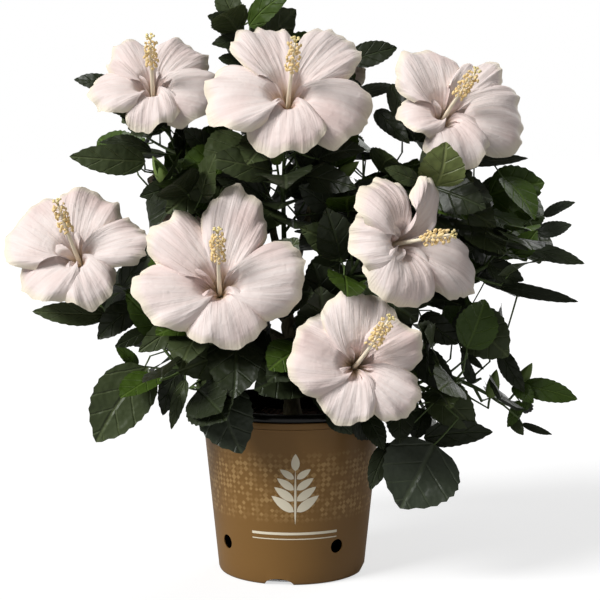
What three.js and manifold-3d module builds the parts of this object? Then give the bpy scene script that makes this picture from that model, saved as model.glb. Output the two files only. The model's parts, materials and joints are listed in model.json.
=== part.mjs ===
// Potted hibiscus shrub: a short woody stem in a round nursery pot, boughs that fan out
// from it, and a mass of leafy twigs on each bough, seven of them carrying an open flower
// towards the front and three towards the back. Millimetres, +Z up, the origin at the
// centre of the pot's flat underside, -Y the front.
import * as THREE from "three";
import { mergeVertices } from "three/addons/utils/BufferGeometryUtils.js";
import Module from "manifold-3d";

const wasm = await Module();
wasm.setup();

// ---------------------------------------------------------------- driving dimensions (mm)
const POT = {
  height: 171, baseRadius: 73.5, spread: 0.1025, wall: 1.8, floor: 3, sides: 28,
  stepHeight: 156.5, bandHeight: 163, bandOut: 1.4, beadRadius: 3.6,
  cornerRise: 10, cornerRadius: 60,
  notches: 4, notchWidth: 29, notchHeight: 6.5, notchDepth: 4, notchTurn: -9.8,
  holes: 4, holeRadius: 7, holeHeight: 37, holeTurn: 35.2,
};
const SOIL = { top: 150, gap: 0.4 };
const TRUNK = {
  foot: [1, 4, 147], top: [-7, 0, 322], flare: 13, flareEnd: 0.12, base: 8.6, tip: 4.2, sides: 10,
};
const BOUGH = { footRadius: 4.8, tipRadius: 2.8, sides: 5, steps: 2 };
const STEM = { footRadius: 2.7, tipRadius: 2, sides: 4, steps: 2 };
const TWIG = { footRadius: 2.1, tipRadius: 1.8, sides: 4, steps: 1, sunk: 90 };
const STALK_STEPS = 3;
const LEAF = {
  thickness: 2, stalk: 0.8, petiole: 18, arch: 0.08, spacing: 20,
  youngest: 58, oldest: 90, narrow: 0.68, broad: 0.84, sunk: 8, sunkByHand: 60,
  plain: [[0.4, 1]], full: [[0.3, 1], [0.68, 0.66]],  // shares of the length and of the width
};
const BLOOM = { thickness: 1.5, funnel: 24, tube: 46, column: 66 };
const PETAL_ANGLES = [-36, -16, 16];  // the corners of one petal's edge, its notch first
const CLEAR = 0.35;            // the least gap between two nodes
const SLIVER = 0.02;           // faces thinner than this are dropped from a fused mass
const CUT = 0.6;               // how much a limb's copy is swollen before it cuts another
const GOLDEN_ANGLE = 137.508;  // degrees from one leaf or twig to the next
const TRIES = 5;               // turns of that angle that a leaf may take to find room
const OUTSIDE = { low: [-262, -222, 62], high: [290, 226, 597] };  // the crown's reach

// Each mass of foliage: the height at which its bough leaves the stem and how far the bough
// bows up, then where the mass starts, the tip of its own stem, how many side twigs it has
// and how long they are, and the number that starts its random draws. The top mass has no
// bough: it stands on the end of the stem.
const MASSES = [
  { name: "top", foot: [-7, 0, 322], tip: [-6, -22, 452], twigs: 5, reach: 60, seed: 11 },
  { name: "peak", leave: 270, bow: 4, foot: [-38, 34, 436], tip: [-52, 12, 545], twigs: 3, reach: 44, seed: 12 },
  { name: "back_top", leave: 264, bow: 6, foot: [22, 54, 376], tip: [34, 96, 462], twigs: 3, reach: 66, seed: 23 },
  { name: "upper_left", leave: 284, bow: 8, foot: [-80, 10, 372], tip: [-124, -8, 446], twigs: 3, reach: 60, seed: 13 },
  { name: "upper_right", leave: 272, bow: 8, foot: [108, 8, 350], tip: [150, -4, 432], twigs: 3, reach: 60, seed: 14 },
  { name: "heart_right", leave: 262, bow: 6, foot: [48, -8, 336], tip: [82, -22, 398], twigs: 3, reach: 54, seed: 28 },
  { name: "heart_left", leave: 256, bow: 6, foot: [-50, -18, 320], tip: [-92, -40, 362], twigs: 3, reach: 54, seed: 29 },
  { name: "back_left", leave: 250, bow: 8, foot: [-84, 84, 318], tip: [-140, 128, 380], twigs: 3, reach: 66, seed: 24 },
  { name: "back_right", leave: 244, bow: 8, foot: [96, 82, 302], tip: [158, 118, 352], twigs: 3, reach: 66, seed: 35 },
  { name: "mid_right", leave: 236, bow: 6, foot: [48, -46, 292], tip: [74, -62, 338], twigs: 3, reach: 50, seed: 17 },
  { name: "far_left", leave: 230, bow: 10, foot: [-118, -14, 276], tip: [-172, -24, 300], twigs: 3, reach: 56, seed: 15 },
  { name: "right", leave: 224, bow: 10, foot: [158, -2, 290], tip: [224, -10, 330], twigs: 3, reach: 62, seed: 19 },
  { name: "mid_left", leave: 218, bow: 6, foot: [-36, -54, 250], tip: [-72, -80, 280], twigs: 3, reach: 50, seed: 16 },
  { name: "back_low_left", leave: 210, bow: 14, foot: [-88, 66, 226], tip: [-150, 92, 236], twigs: 3, reach: 64, seed: 26 },
  { name: "low_front", leave: 207, bow: 8, foot: [24, -54, 224], tip: [44, -84, 214], twigs: 3, reach: 48, seed: 18 },
  { name: "back_low_right", leave: 202, bow: 14, foot: [60, 88, 222], tip: [100, 146, 228], twigs: 3, reach: 64, seed: 27 },
  { name: "low_right", leave: 196, bow: 22, foot: [150, 2, 198], tip: [214, -6, 168], twigs: 3, reach: 56, seed: 20 },
  { name: "skirt_left", leave: 192, bow: 18, foot: [-66, -50, 214], tip: [-122, -66, 214], twigs: 3, reach: 54, seed: 22 },
  { name: "skirt_right", leave: 184, bow: 22, foot: [112, -32, 194], tip: [150, -54, 184], twigs: 3, reach: 52, seed: 21 },
];

// Each open flower: its throat, its radius, where its face and its column point, and the
// turn of its petals in degrees.
const BLOOMS = [
  { mass: "upper_left", throat: [-133, -52, 483], radius: 66, face: [0.02, -0.74, 0.67], column: [0, -0.62, 0.78], turn: 10 },
  { mass: "top", throat: [-2, -78, 475], radius: 80, face: [0.05, -0.82, 0.57], column: [0.1, -0.56, 0.82], turn: 52 },
  { mass: "upper_right", throat: [148, -52, 457], radius: 66, face: [0.16, -0.84, 0.52], column: [0.36, -0.6, 0.71], turn: 4 },
  { mass: "far_left", throat: [-207, -65, 323], radius: 69, face: [-0.12, -0.83, 0.54], column: [-0.22, -0.48, 0.85], turn: 22 },
  { mass: "mid_left", throat: [-66, -132, 299], radius: 80, face: [0, -0.89, 0.46], column: [0, -0.54, 0.84], turn: 40 },
  { mass: "mid_right", throat: [103, -110, 337], radius: 70, face: [0.56, -0.8, 0.2], column: [0.75, -0.64, 0.18], turn: 30 },
  { mass: "low_front", throat: [61, -140, 226], radius: 63, face: [0.1, -0.97, 0.22], column: [0.44, -0.54, 0.72], turn: 16 },
  { mass: "back_top", throat: [26, 142, 500], radius: 70, face: [0.08, 0.72, 0.69], column: [0, 0.55, 0.83], turn: 30 },
  { mass: "back_left", throat: [-140, 168, 404], radius: 68, face: [-0.42, 0.78, 0.46], column: [-0.36, 0.6, 0.72], turn: 12 },
  { mass: "back_right", throat: [126, 176, 316], radius: 70, face: [0.3, 0.88, 0.36], column: [0.34, 0.62, 0.7], turn: 50 },
];

// Each leaf that shapes the outline by itself: where its blade starts, its tip, how far its
// face turns from up (0) to outward (1), and its width over its length.
const LEAVES = [
  { mass: "peak", start: [-44, 2, 553], tip: [4, -14, 586], out: 0.75, wide: 0.62 },
  { mass: "peak", start: [-56, 26, 558], tip: [-68, 36, 596], out: 0.8, wide: 0.5 },
  { mass: "peak", start: [-56, 10, 538], tip: [-86, 0, 562], out: 0.6, wide: 0.6 },
  { mass: "peak", start: [-60, -6, 522], tip: [-96, -16, 514], out: 0.5, wide: 0.6 },
  { mass: "top", start: [56, 6, 498], tip: [104, 4, 526], out: 0.5, wide: 0.55 },
  { mass: "top", start: [-22, -50, 420], tip: [-84, -84, 412], out: 0.8, wide: 0.62 },
  { mass: "top", start: [16, -52, 410], tip: [72, -84, 388], out: 0.6, wide: 0.5 },
  { mass: "upper_left", start: [-168, -10, 470], tip: [-216, -12, 492], out: 0.6, wide: 0.6 },
  { mass: "upper_left", start: [-148, -18, 446], tip: [-196, -34, 462], out: 0.5, wide: 0.6 },
  { mass: "upper_left", start: [-138, -32, 414], tip: [-212, -62, 414], out: 0.45, wide: 0.5 },
  { mass: "upper_left", start: [-70, -48, 396], tip: [-128, -86, 372], out: 0.85, wide: 0.72 },
  { mass: "upper_right", start: [152, -82, 380], tip: [146, -104, 420], out: 0.9, wide: 0.72 },
  { mass: "upper_right", start: [176, -22, 416], tip: [234, -26, 414], out: 0.4, wide: 0.42 },
  { mass: "upper_right", start: [206, 2, 366], tip: [234, -22, 412], out: 0.8, wide: 0.75 },
  { mass: "far_left", start: [-190, -44, 268], tip: [-250, -62, 274], out: 0.4, wide: 0.5 },
  { mass: "far_left", start: [-122, -58, 262], tip: [-160, -76, 284], out: 0.8, wide: 0.66 },
  { mass: "mid_right", start: [8, -60, 338], tip: [60, -86, 324], out: 0.85, wide: 0.74 },
  { mass: "right", start: [228, 6, 350], tip: [284, 10, 370], out: 0.4, wide: 0.44 },
  { mass: "right", start: [234, -14, 326], tip: [290, -24, 312], out: 0.5, wide: 0.4 },
  { mass: "right", start: [214, -16, 284], tip: [286, -18, 270], out: 0.35, wide: 0.34 },
  { mass: "right", start: [176, -30, 266], tip: [212, -46, 226], out: 0.8, wide: 0.74 },
  { mass: "low_right", start: [238, -8, 172], tip: [288, -12, 172], out: 0.7, wide: 0.5 },
  { mass: "low_right", start: [224, 0, 150], tip: [264, 0, 136], out: 0.5, wide: 0.45 },
  { mass: "skirt_right", start: [166, -60, 192], tip: [158, -78, 130], out: 0.9, wide: 0.86 },
  { mass: "skirt_right", start: [142, -78, 142], tip: [96, -97, 84], out: 0.95, wide: 0.7 },
  { mass: "skirt_left", start: [-146, -66, 208], tip: [-188, -78, 140], out: 0.9, wide: 0.78 },
  { mass: "skirt_left", start: [-52, -92, 232], tip: [-112, -116, 212], out: 0.85, wide: 0.74 },
  { mass: "skirt_left", start: [-72, -104, 190], tip: [-46, -122, 138], out: 0.9, wide: 0.74 },
  { mass: "skirt_left", start: [-110, -52, 202], tip: [-132, -54, 152], out: 0.7, wide: 0.56 },
];

// Each flower bud: the mass it grows on, its middle and the way it points.
const BUDS = [
  { mass: "upper_left", at: [-128, -44, 404], along: [-0.4, -0.2, 0.9] },
  { mass: "top", at: [-15, -62, 424], along: [-0.1, -0.2, 1] },
  { mass: "top", at: [54, -50, 404], along: [0.7, -0.3, 0.5] },
  { mass: "low_right", at: [201, -22, 192], along: [0.2, -0.2, 1] },
  { mass: "low_right", at: [236, 2, 196], along: [0.5, 0.1, 0.9] },
  { mass: "back_right", at: [196, 120, 372], along: [0.4, 0.3, 0.9] },
  { mass: "back_low_left", at: [-178, 112, 262], along: [-0.4, 0.3, 0.9] },
];
const BUD = { length: 30, radius: 6.5 };

// ---------------------------------------------------------------- small helpers
const vec = (p) => new THREE.Vector3(p[0], p[1], p[2]);
const UP = vec([0, 0, 1]);
const radians = (degrees) => degrees * Math.PI / 180;
const mix = (a, b, t) => a + (b - a) * t;

// A seeded stream of numbers from 0 to 1.
function randomStream(seed) {
  let state = seed >>> 0;
  return () => {
    state = (state + 0x6d2b79f5) >>> 0;
    let t = Math.imul(state ^ (state >>> 15), state | 1);
    t = (t + Math.imul(t ^ (t >>> 7), t | 61)) ^ t;
    return ((t ^ (t >>> 14)) >>> 0) / 4294967296;
  };
}

// Two directions square to a line and to each other.
function squareTo(direction) {
  const helper = Math.abs(direction.z) < 0.9 ? UP : vec([1, 0, 0]);
  const side = new THREE.Vector3().crossVectors(helper, direction).normalize();
  return [side, new THREE.Vector3().crossVectors(direction, side).normalize()];
}

function indexed(points, faces) {
  const geometry = new THREE.BufferGeometry();
  const numbers = points.flatMap((p) => [p.x, p.y, p.z]);
  geometry.setAttribute("position", new THREE.Float32BufferAttribute(numbers, 3));
  geometry.setIndex(faces.flat());
  return geometry;
}

// A closed mesh as a solid: shared corners merged, empty faces dropped, faces turned out.
function solid(geometry) {
  const bare = geometry.clone();
  for (const name of ["normal", "uv"]) bare.deleteAttribute(name);
  const merged = mergeVertices(bare, 1e-4);
  const position = merged.getAttribute("position");
  const kept = [];
  let volume = 0;
  const corner = [0, 1, 2].map(() => new THREE.Vector3());
  for (let i = 0; i < merged.index.count; i += 3) {
    const [a, b, c] = [0, 1, 2].map((k) => merged.index.getX(i + k));
    if (a === b || b === c || a === c) continue;
    kept.push([a, b, c]);
    [a, b, c].forEach((n, k) => corner[k].fromBufferAttribute(position, n));
    volume += corner[0].dot(corner[1].clone().cross(corner[2]));
  }
  const facing = volume < 0 ? kept.map(([a, b, c]) => [a, c, b]) : kept;
  return new wasm.Manifold(new wasm.Mesh({
    numProp: 3,
    vertProperties: Float32Array.from(position.array),
    triVerts: Uint32Array.from(facing.flat()),
  }));
}

// The largest body of a solid, with the hollows inside it filled and loose scraps dropped.
function largestBody(whole) {
  return whole.decompose().reduce((best, part) => (part.volume() > best.volume() ? part : best));
}

// A named mesh of a solid. Corners that are the same to a micron become one corner, and two
// faces that then fold flat onto each other are both dropped.
function meshOf(name, body, material) {
  const { vertProperties, triVerts, numProp } = body.getMesh();
  const numberOf = new Map();
  const points = [];
  const corner = [];
  for (let i = 0; i < vertProperties.length; i += numProp) {
    const rounded = [0, 1, 2].map((k) => Math.round(vertProperties[i + k] * 1000) / 1000);
    const key = rounded.join();
    if (!numberOf.has(key)) {
      numberOf.set(key, points.length);
      points.push(vec(rounded));
    }
    corner.push(numberOf.get(key));
  }
  const faces = new Map();
  for (let i = 0; i < triVerts.length; i += 3) {
    const face = [0, 1, 2].map((k) => corner[triVerts[i + k]]);
    const key = [...face].sort().join();
    if (new Set(face).size < 3) continue;
    if (!faces.delete(key)) faces.set(key, face);
  }
  const geometry = indexed(points, [...faces.values()]);
  geometry.computeVertexNormals();
  const mesh = new THREE.Mesh(geometry, material);
  mesh.name = name;
  return mesh;
}

// A tapering limb with flat ends along a curve.
function limb(curve, footRadius, tipRadius, sides, steps) {
  const points = [];
  const faces = [];
  let [side, other] = squareTo(curve.getTangent(0));
  for (let i = 0; i <= steps; i++) {
    const t = i / steps;
    const along = curve.getTangent(t);
    side.addScaledVector(along, -side.dot(along)).normalize();
    other = new THREE.Vector3().crossVectors(along, side);
    const radius = mix(footRadius, tipRadius, t);
    for (let k = 0; k < sides; k++) {
      const angle = 2 * Math.PI * k / sides;
      points.push(curve.getPoint(t).addScaledVector(side, radius * Math.cos(angle))
        .addScaledVector(other, radius * Math.sin(angle)));
    }
  }
  for (let i = 0; i < steps; i++) {
    for (let k = 0; k < sides; k++) {
      const [a, b] = [i * sides + k, i * sides + (k + 1) % sides];
      faces.push([a, b, b + sides], [a, b + sides, a + sides]);
    }
  }
  const last = steps * sides;
  for (let k = 1; k < sides - 1; k++) faces.push([0, k + 1, k], [last, last + k, last + k + 1]);
  return solid(indexed(points, faces));
}

// ---------------------------------------------------------------- materials
const finish = (color, roughness) => new THREE.MeshStandardMaterial({
  color, roughness, metalness: 0, flatShading: true,
});
const GOLD_PLASTIC = finish("#8c6b3c", 0.45);
const POTTING_MIX = finish("#2a1d15", 0.95);
const BARK = finish("#6b6248", 0.8);
const FOLIAGE = finish("#3b4a2e", 0.5);

// ---------------------------------------------------------------- pot and soil
const wallRadius = (height) => POT.baseRadius + POT.spread * height;
const turned = (profile) => new THREE.LatheGeometry(profile.map(([r, z]) => new THREE.Vector2(r, z)), POT.sides)
  .rotateX(Math.PI / 2);

function pot() {
  const band = wallRadius(POT.stepHeight) + POT.bandOut;
  const rim = wallRadius(POT.bandHeight) + POT.bandOut;
  const inner = (height) => wallRadius(height) - POT.wall;
  let body = solid(turned([
    [0, 0], [POT.baseRadius - 3, 0], [wallRadius(3), 3], [wallRadius(POT.stepHeight), POT.stepHeight - 1],
    [band, POT.stepHeight], [rim, POT.bandHeight], [rim + 0.6, POT.bandHeight + POT.beadRadius],
    [rim - 1.6, POT.height], [rim - 2 * POT.beadRadius, POT.height - 2],
    [inner(POT.stepHeight), POT.stepHeight], [inner(POT.cornerRise), POT.cornerRise],
    [POT.cornerRadius, POT.floor], [0, POT.floor],
  ]));
  for (let i = 0; i < POT.notches; i++) {
    const angle = radians(POT.notchTurn + i * 360 / POT.notches);
    const arch = new THREE.CylinderGeometry(1, 1, 2 * POT.notchDepth, 12)
      .scale(POT.notchWidth / 2, 1, POT.notchHeight);
    body = body.subtract(solid(arch.translate(0, -wallRadius(0), 0).rotateZ(angle)));
  }
  for (let i = 0; i < POT.holes; i++) {
    const angle = radians(POT.holeTurn + i * 360 / POT.holes);
    const drill = new THREE.CylinderGeometry(POT.holeRadius, POT.holeRadius, 24, 10)
      .translate(0, -wallRadius(POT.holeHeight), POT.holeHeight);
    body = body.subtract(solid(drill.rotateZ(angle)));
  }
  return body;
}

function soil() {
  const radius = (height) => wallRadius(height) - POT.wall - SOIL.gap;
  return solid(turned([
    [0, POT.floor + SOIL.gap], [POT.cornerRadius - 2, POT.floor + SOIL.gap],
    [radius(POT.cornerRise) - 1, POT.cornerRise + 1.5], [radius(SOIL.top - 4), SOIL.top - 4],
    [radius(SOIL.top) - 5, SOIL.top], [0, SOIL.top],
  ]));
}

// ---------------------------------------------------------------- stem and boughs
const trunkLine = new THREE.LineCurve3(vec(TRUNK.foot), vec(TRUNK.top));

// A flared foot and a tapering shaft, cut level just above the soil.
function trunk() {
  const foot = limb(new THREE.LineCurve3(vec(TRUNK.foot), trunkLine.getPoint(TRUNK.flareEnd + 0.01)),
    TRUNK.flare, TRUNK.base, TRUNK.sides, 1);
  const shaft = limb(new THREE.LineCurve3(trunkLine.getPoint(TRUNK.flareEnd), vec(TRUNK.top)),
    TRUNK.base + 0.1, TRUNK.tip, TRUNK.sides, 2);
  const ground = new THREE.BoxGeometry(60, 60, 20).translate(0, 0, SOIL.top + CLEAR - 10);
  return largestBody(foot.add(shaft).subtract(solid(ground)));
}

// The line of a mass's bough, which leaves the side of the stem at its own height.
function boughLine(mass) {
  const foot = trunkLine.getPoint((mass.leave - TRUNK.foot[2]) / (TRUNK.top[2] - TRUNK.foot[2]));
  const tip = vec(mass.foot);
  const bend = foot.clone().lerp(tip, 0.45);
  bend.z += mass.bow;
  return new THREE.QuadraticBezierCurve3(foot, bend, tip);
}

// ---------------------------------------------------------------- leaves, buds and flowers
// A leaf with its stalk: a thin stalk from its root in the twig to the blade, then an
// arched blade with a ridge along its midrib, as wide as its shape says.
function leaf(root, start, tip, face, width, shape) {
  const along = tip.clone().sub(start);
  const length = along.length();
  along.normalize();
  const normal = face.clone().addScaledVector(along, -face.dot(along)).normalize();
  const side = new THREE.Vector3().crossVectors(along, normal);
  const stalk = start.clone().sub(root).normalize();
  const stalkSide = side.clone().addScaledVector(stalk, -side.dot(stalk)).normalize();
  const stalkNormal = new THREE.Vector3().crossVectors(stalkSide, stalk);
  const ring = (centre, across, halfWidth, up, ridge) => [
    centre.clone().addScaledVector(across, -halfWidth),
    centre.clone().addScaledVector(up, ridge),
    centre.clone().addScaledVector(across, halfWidth),
  ];
  const arch = (t) => start.clone().addScaledVector(along, t * length)
    .addScaledVector(normal, LEAF.arch * length * 4 * t * (1 - t));
  const rings = [
    ring(root, stalkSide, LEAF.stalk, stalkNormal, 1.3 * LEAF.stalk),
    ring(arch(0.02), side, LEAF.stalk, normal, LEAF.thickness),
    ...shape.map(([share, wide]) => ring(arch(share), side, wide * width / 2, normal, LEAF.thickness)),
  ];
  const points = [...rings.flat(), tip.clone()];
  const faces = [[0, 1, 2]];
  for (let i = 0; i < rings.length - 1; i++) {
    for (let k = 0; k < 3; k++) {
      const [a, b] = [3 * i + k, 3 * i + (k + 1) % 3];
      faces.push([a, b + 3, b], [a, a + 3, b + 3]);
    }
  }
  const last = 3 * (rings.length - 1);
  for (let k = 0; k < 3; k++) faces.push([last + k, points.length - 1, last + (k + 1) % 3]);
  return solid(indexed(points, faces));
}

// The face of a leaf between straight up and straight out from the crown's middle line.
function leafFace(start, out) {
  const outward = vec([start.x, start.y, 0]).normalize();
  return UP.clone().multiplyScalar(1 - out).addScaledVector(outward, out).normalize();
}

// A round piece along a direction from a point: pairs of a radius and a distance.
function spindle(from, along, profile, sides) {
  const geometry = new THREE.LatheGeometry(profile.map(([r, d]) => new THREE.Vector2(r, d)), sides);
  const turn = new THREE.Quaternion().setFromUnitVectors(vec([0, 1, 0]), along);
  return solid(geometry.applyQuaternion(turn).translate(from.x, from.y, from.z));
}

// The petals as one wavy funnel with five lobes, its column and its green tube behind.
function bloom({ throat, radius, face, column, turn }) {
  const centre = vec(throat);
  const axis = vec(face).normalize();
  const [side, other] = squareTo(axis);
  const ringShare = [0.25, 1];
  const angles = [0, 1, 2, 3, 4].flatMap((petal) => PETAL_ANGLES.map((corner) => radians(72 * petal + corner)));
  const surface = (offset) => {
    const points = [centre.clone().addScaledVector(axis, offset - BLOOM.funnel)];
    for (const share of ringShare) {
      for (const angle of angles) {
        const notch = 1 - Math.abs(Math.cos(2.5 * angle));
        const reach = radius * (1 - 0.2 * share * notch) * (share < 0.3 ? 0.75 * share : share);
        const ruffle = 4 * share * share * Math.sin(3 * angle + turn) + 5 * share * Math.cos(5 * angle);
        const depth = share < 0.3 ? -0.45 * BLOOM.funnel : ruffle - 0.05 * radius * share * share;
        const around = angle + radians(turn);
        points.push(centre.clone().addScaledVector(side, reach * Math.cos(around))
          .addScaledVector(other, reach * Math.sin(around)).addScaledVector(axis, depth + offset));
      }
    }
    return points;
  };
  const top = surface(BLOOM.thickness / 2);
  const bottom = surface(-BLOOM.thickness / 2);
  const n = angles.length;
  const faces = [];
  const skin = (shift, flip) => {
    const add = (a, b, c) => faces.push(flip ? [a + shift, c + shift, b + shift] : [a + shift, b + shift, c + shift]);
    for (let k = 0; k < n; k++) {
      const next = (k + 1) % n;
      add(0, 1 + k, 1 + next);
      for (let ring = 0; ring < ringShare.length - 1; ring++) {
        const [a, b] = [1 + ring * n + k, 1 + ring * n + next];
        add(a, a + n, b + n);
        add(a, b + n, b);
      }
    }
  };
  skin(0, false);
  skin(top.length, true);
  const rimStart = 1 + (ringShare.length - 1) * n;
  for (let k = 0; k < n; k++) {
    const [a, b] = [rimStart + k, rimStart + (k + 1) % n];
    faces.push([a, a + top.length, b + top.length], [a, b + top.length, b]);
  }
  const corolla = solid(indexed([...top, ...bottom], faces));
  const length = BLOOM.column;
  const rise = spindle(centre.clone().addScaledVector(axis, -BLOOM.funnel - 2), vec(column).normalize(), [
    [0, 0], [2.2, 0], [1.8, 0.6 * length], [5.8, 0.74 * length], [5.8, 1.05 * length], [0, 1.3 * length],
  ], 4);
  const tube = spindle(centre.clone().addScaledVector(axis, -BLOOM.tube), axis, [
    [0, 0], [3.4, 0], [7.5, 14], [6, BLOOM.tube - BLOOM.funnel + 1], [0, BLOOM.tube - BLOOM.funnel + 2],
  ], 5);
  return [corolla, rise, tube];
}

function bud({ at, along }) {
  const way = vec(along).normalize();
  const foot = vec(at).addScaledVector(way, -BUD.length / 2);
  return spindle(foot, way, [
    [0, 0], [2, 0], [BUD.radius, 0.35 * BUD.length], [0.7 * BUD.radius, 0.72 * BUD.length], [0, BUD.length],
  ], 5);
}

// ---------------------------------------------------------------- growing the masses
const boxesMeet = (a, b) => [0, 1, 2].every((k) => a.min[k] - CLEAR < b.max[k] && b.min[k] - CLEAR < a.max[k]);

// Every piece that is in place, with the node it belongs to.
const placed = [];
function place(owner, body, kind) {
  placed.push({ owner, body, kind, box: body.boundingBox() });
}

// Whether a piece would touch another node, or cut into its own more than its root does.
function blocked(owner, body, sunk) {
  const box = body.boundingBox();
  return placed.some((other) => {
    if (!boxesMeet(box, other.box)) return false;
    if (other.owner !== owner) return body.minGap(other.body, 1) < CLEAR;
    return body.intersect(other.body).volume() > (other.kind === "wood" ? sunk : 0.2);
  });
}

const insideReach = (body) => {
  const { min, max } = body.boundingBox();
  return [0, 1, 2].every((k) => min[k] >= OUTSIDE.low[k] && max[k] <= OUTSIDE.high[k]);
};

// Whether a point would stand between an open flower and the open side that it faces.
function hidesBloom(point) {
  return BLOOMS.some(({ throat, radius, face }) => {
    const flat = vec([face[0], face[1], 0]).normalize();
    return [vec(face).normalize(), flat].some((way) => {
      const apart = point.clone().sub(vec(throat));
      const ahead = apart.dot(way);
      return ahead > -6 && ahead < 190 && apart.addScaledVector(way, -ahead).length() < 0.92 * radius;
    });
  });
}

// The straight runs that a limb's middle line is made of.
function runsOf(curve, steps) {
  const runs = new THREE.CurvePath();
  for (let i = 0; i < steps; i++) {
    runs.add(new THREE.LineCurve3(curve.getPoint(i / steps), curve.getPoint((i + 1) / steps)));
  }
  return runs;
}

// The nearest point of a mass's wood to a given point, never twice quite the same one.
function nearestWood({ lines, random }, point) {
  let best = null;
  for (const line of lines) {
    for (let t = mix(0.08, 0.14, random()); t <= 1; t += 0.06) {
      const there = line.getPoint(t);
      if (!best || there.distanceTo(point) < best.distanceTo(point)) best = there;
    }
  }
  return best;
}

// The mass's own stem and its side twigs, turned by the golden angle.
function grow(mass, entry) {
  const random = randomStream(mass.seed);
  const foot = vec(mass.foot).addScaledVector(entry, CLEAR);
  const tip = vec(mass.tip);
  const bend = foot.clone().addScaledVector(entry, 0.4 * foot.distanceTo(tip));
  const stem = new THREE.QuadraticBezierCurve3(foot, bend, tip);
  const lines = [runsOf(stem, STEM.steps)];
  place(mass.name, limb(stem, STEM.footRadius, STEM.tipRadius, STEM.sides, STEM.steps), "wood");
  for (let i = 0; i < mass.twigs; i++) {
    const t = mix(0.2, 0.92, (i + 0.5) / mass.twigs);
    const tangent = lines[0].getTangent(t);
    const [side, other] = squareTo(tangent);
    const angle = radians(GOLDEN_ANGLE * (i + mass.seed));
    const way = side.multiplyScalar(Math.cos(angle)).addScaledVector(other, Math.sin(angle));
    const start = lines[0].getPoint(t);
    const outward = vec([start.x, start.y, 0]).normalize();
    way.addScaledVector(outward, 0.55).addScaledVector(tangent, 0.5).addScaledVector(UP, 0.25).normalize();
    const end = start.clone().addScaledVector(way, mass.reach * mix(0.85, 1.15, random()));
    const line = new THREE.LineCurve3(start, end);
    const body = limb(line, TWIG.footRadius, TWIG.tipRadius, TWIG.sides, TWIG.steps);
    if (blocked(mass.name, body, TWIG.sunk) || hidesBloom(end)) continue;
    place(mass.name, body, "wood");
    lines.push(line);
  }
  return { mass, lines, random };
}

// A thin stalk from the mass's wood to something that it carries.
function stalkTo(plant, end, along, radius) {
  const root = nearestWood(plant, end.clone().addScaledVector(along, -20));
  const bend = end.clone().addScaledVector(along, -0.45 * root.distanceTo(end));
  const line = new THREE.QuadraticBezierCurve3(root, bend, end.clone().addScaledVector(along, 2));
  place(plant.mass.name, limb(line, radius, 0.9 * radius, TWIG.sides, STALK_STEPS), "wood");
  plant.lines.push(runsOf(line, STALK_STEPS));
}

// Leaves along every twig, one at each golden turn: large and low at its foot, small and
// upright at its tip.
function clothe(plant) {
  const { mass, lines, random } = plant;
  lines.forEach((line, n) => {
    const length = line.getLength();
    const count = Math.max(2, Math.round(length / LEAF.spacing));
    for (let i = 0; i < count; i++) {
      const t = mix(n === 0 ? 0.1 : 0.3, 1, (i + 0.6) / count);
      const age = 1 - t;
      const tangent = line.getTangent(t);
      const [side, other] = squareTo(tangent);
      const root = line.getPoint(t);
      const outward = vec([root.x, root.y, 0]).normalize();
      const size = mix(LEAF.youngest, LEAF.oldest, Math.sqrt(age)) * mix(0.88, 1.04, random());
      const stalk = LEAF.petiole * mix(0.8, 1.2, random());
      const drop = mix(0.15, 0.75, age) * mix(0.6, 1.3, random());
      const out = mix(0.35, 0.85, random());
      const width = size * mix(LEAF.narrow, LEAF.broad, random());
      for (let turn = 0; turn < TRIES; turn++) {
        const angle = radians(GOLDEN_ANGLE * (i + turn) + 77 * n);
        const way = side.clone().multiplyScalar(Math.cos(angle)).addScaledVector(other, Math.sin(angle))
          .addScaledVector(tangent, 0.5).addScaledVector(outward, 0.35).addScaledVector(UP, 0.25).normalize();
        const start = root.clone().addScaledVector(way, stalk);
        const run = way.clone().addScaledVector(UP, -drop).addScaledVector(outward, 0.2).normalize();
        const tip = start.clone().addScaledVector(run, size);
        if (hidesBloom(tip) || hidesBloom(start)) continue;
        const body = leaf(root, start, tip, leafFace(start, out), width, LEAF.plain);
        if (!insideReach(body) || blocked(mass.name, body, LEAF.sunk)) continue;
        place(mass.name, body, "leaf");
        break;
      }
    }
  });
}

// ---------------------------------------------------------------- the whole plant
const parts = new THREE.Group();
const potBody = pot();
const soilBody = soil();
const trunkBody = trunk();
place("pot", potBody, "wall");
place("soil", soilBody, "wall");
place("trunk", trunkBody, "wood");
parts.add(meshOf("pot", potBody, GOLD_PLASTIC));
parts.add(meshOf("soil", soilBody, POTTING_MIX));
parts.add(meshOf("trunk", trunkBody, BARK));

// Boughs are cut clear of the stem and of the boughs above them by swollen copies of both.
const swollen = [limb(trunkLine, TRUNK.base + 1 + CUT, TRUNK.tip + CUT, 12, 2)];
const plants = [];
for (const mass of MASSES) {
  if (!mass.leave) {
    plants.push({ mass, entry: trunkLine.getTangent(1) });
    continue;
  }
  const line = boughLine(mass);
  let body = limb(line, BOUGH.footRadius, BOUGH.tipRadius, BOUGH.sides, BOUGH.steps);
  for (const other of swollen) body = body.subtract(other);
  body = largestBody(body);
  swollen.push(limb(line, BOUGH.footRadius + CUT, BOUGH.tipRadius + CUT, BOUGH.sides, BOUGH.steps));
  const name = `bough_${mass.name}`;
  place(name, body, "wood");
  parts.add(meshOf(name, body, BARK));
  plants.push({ mass, entry: line.getTangent(1) });
}

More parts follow.
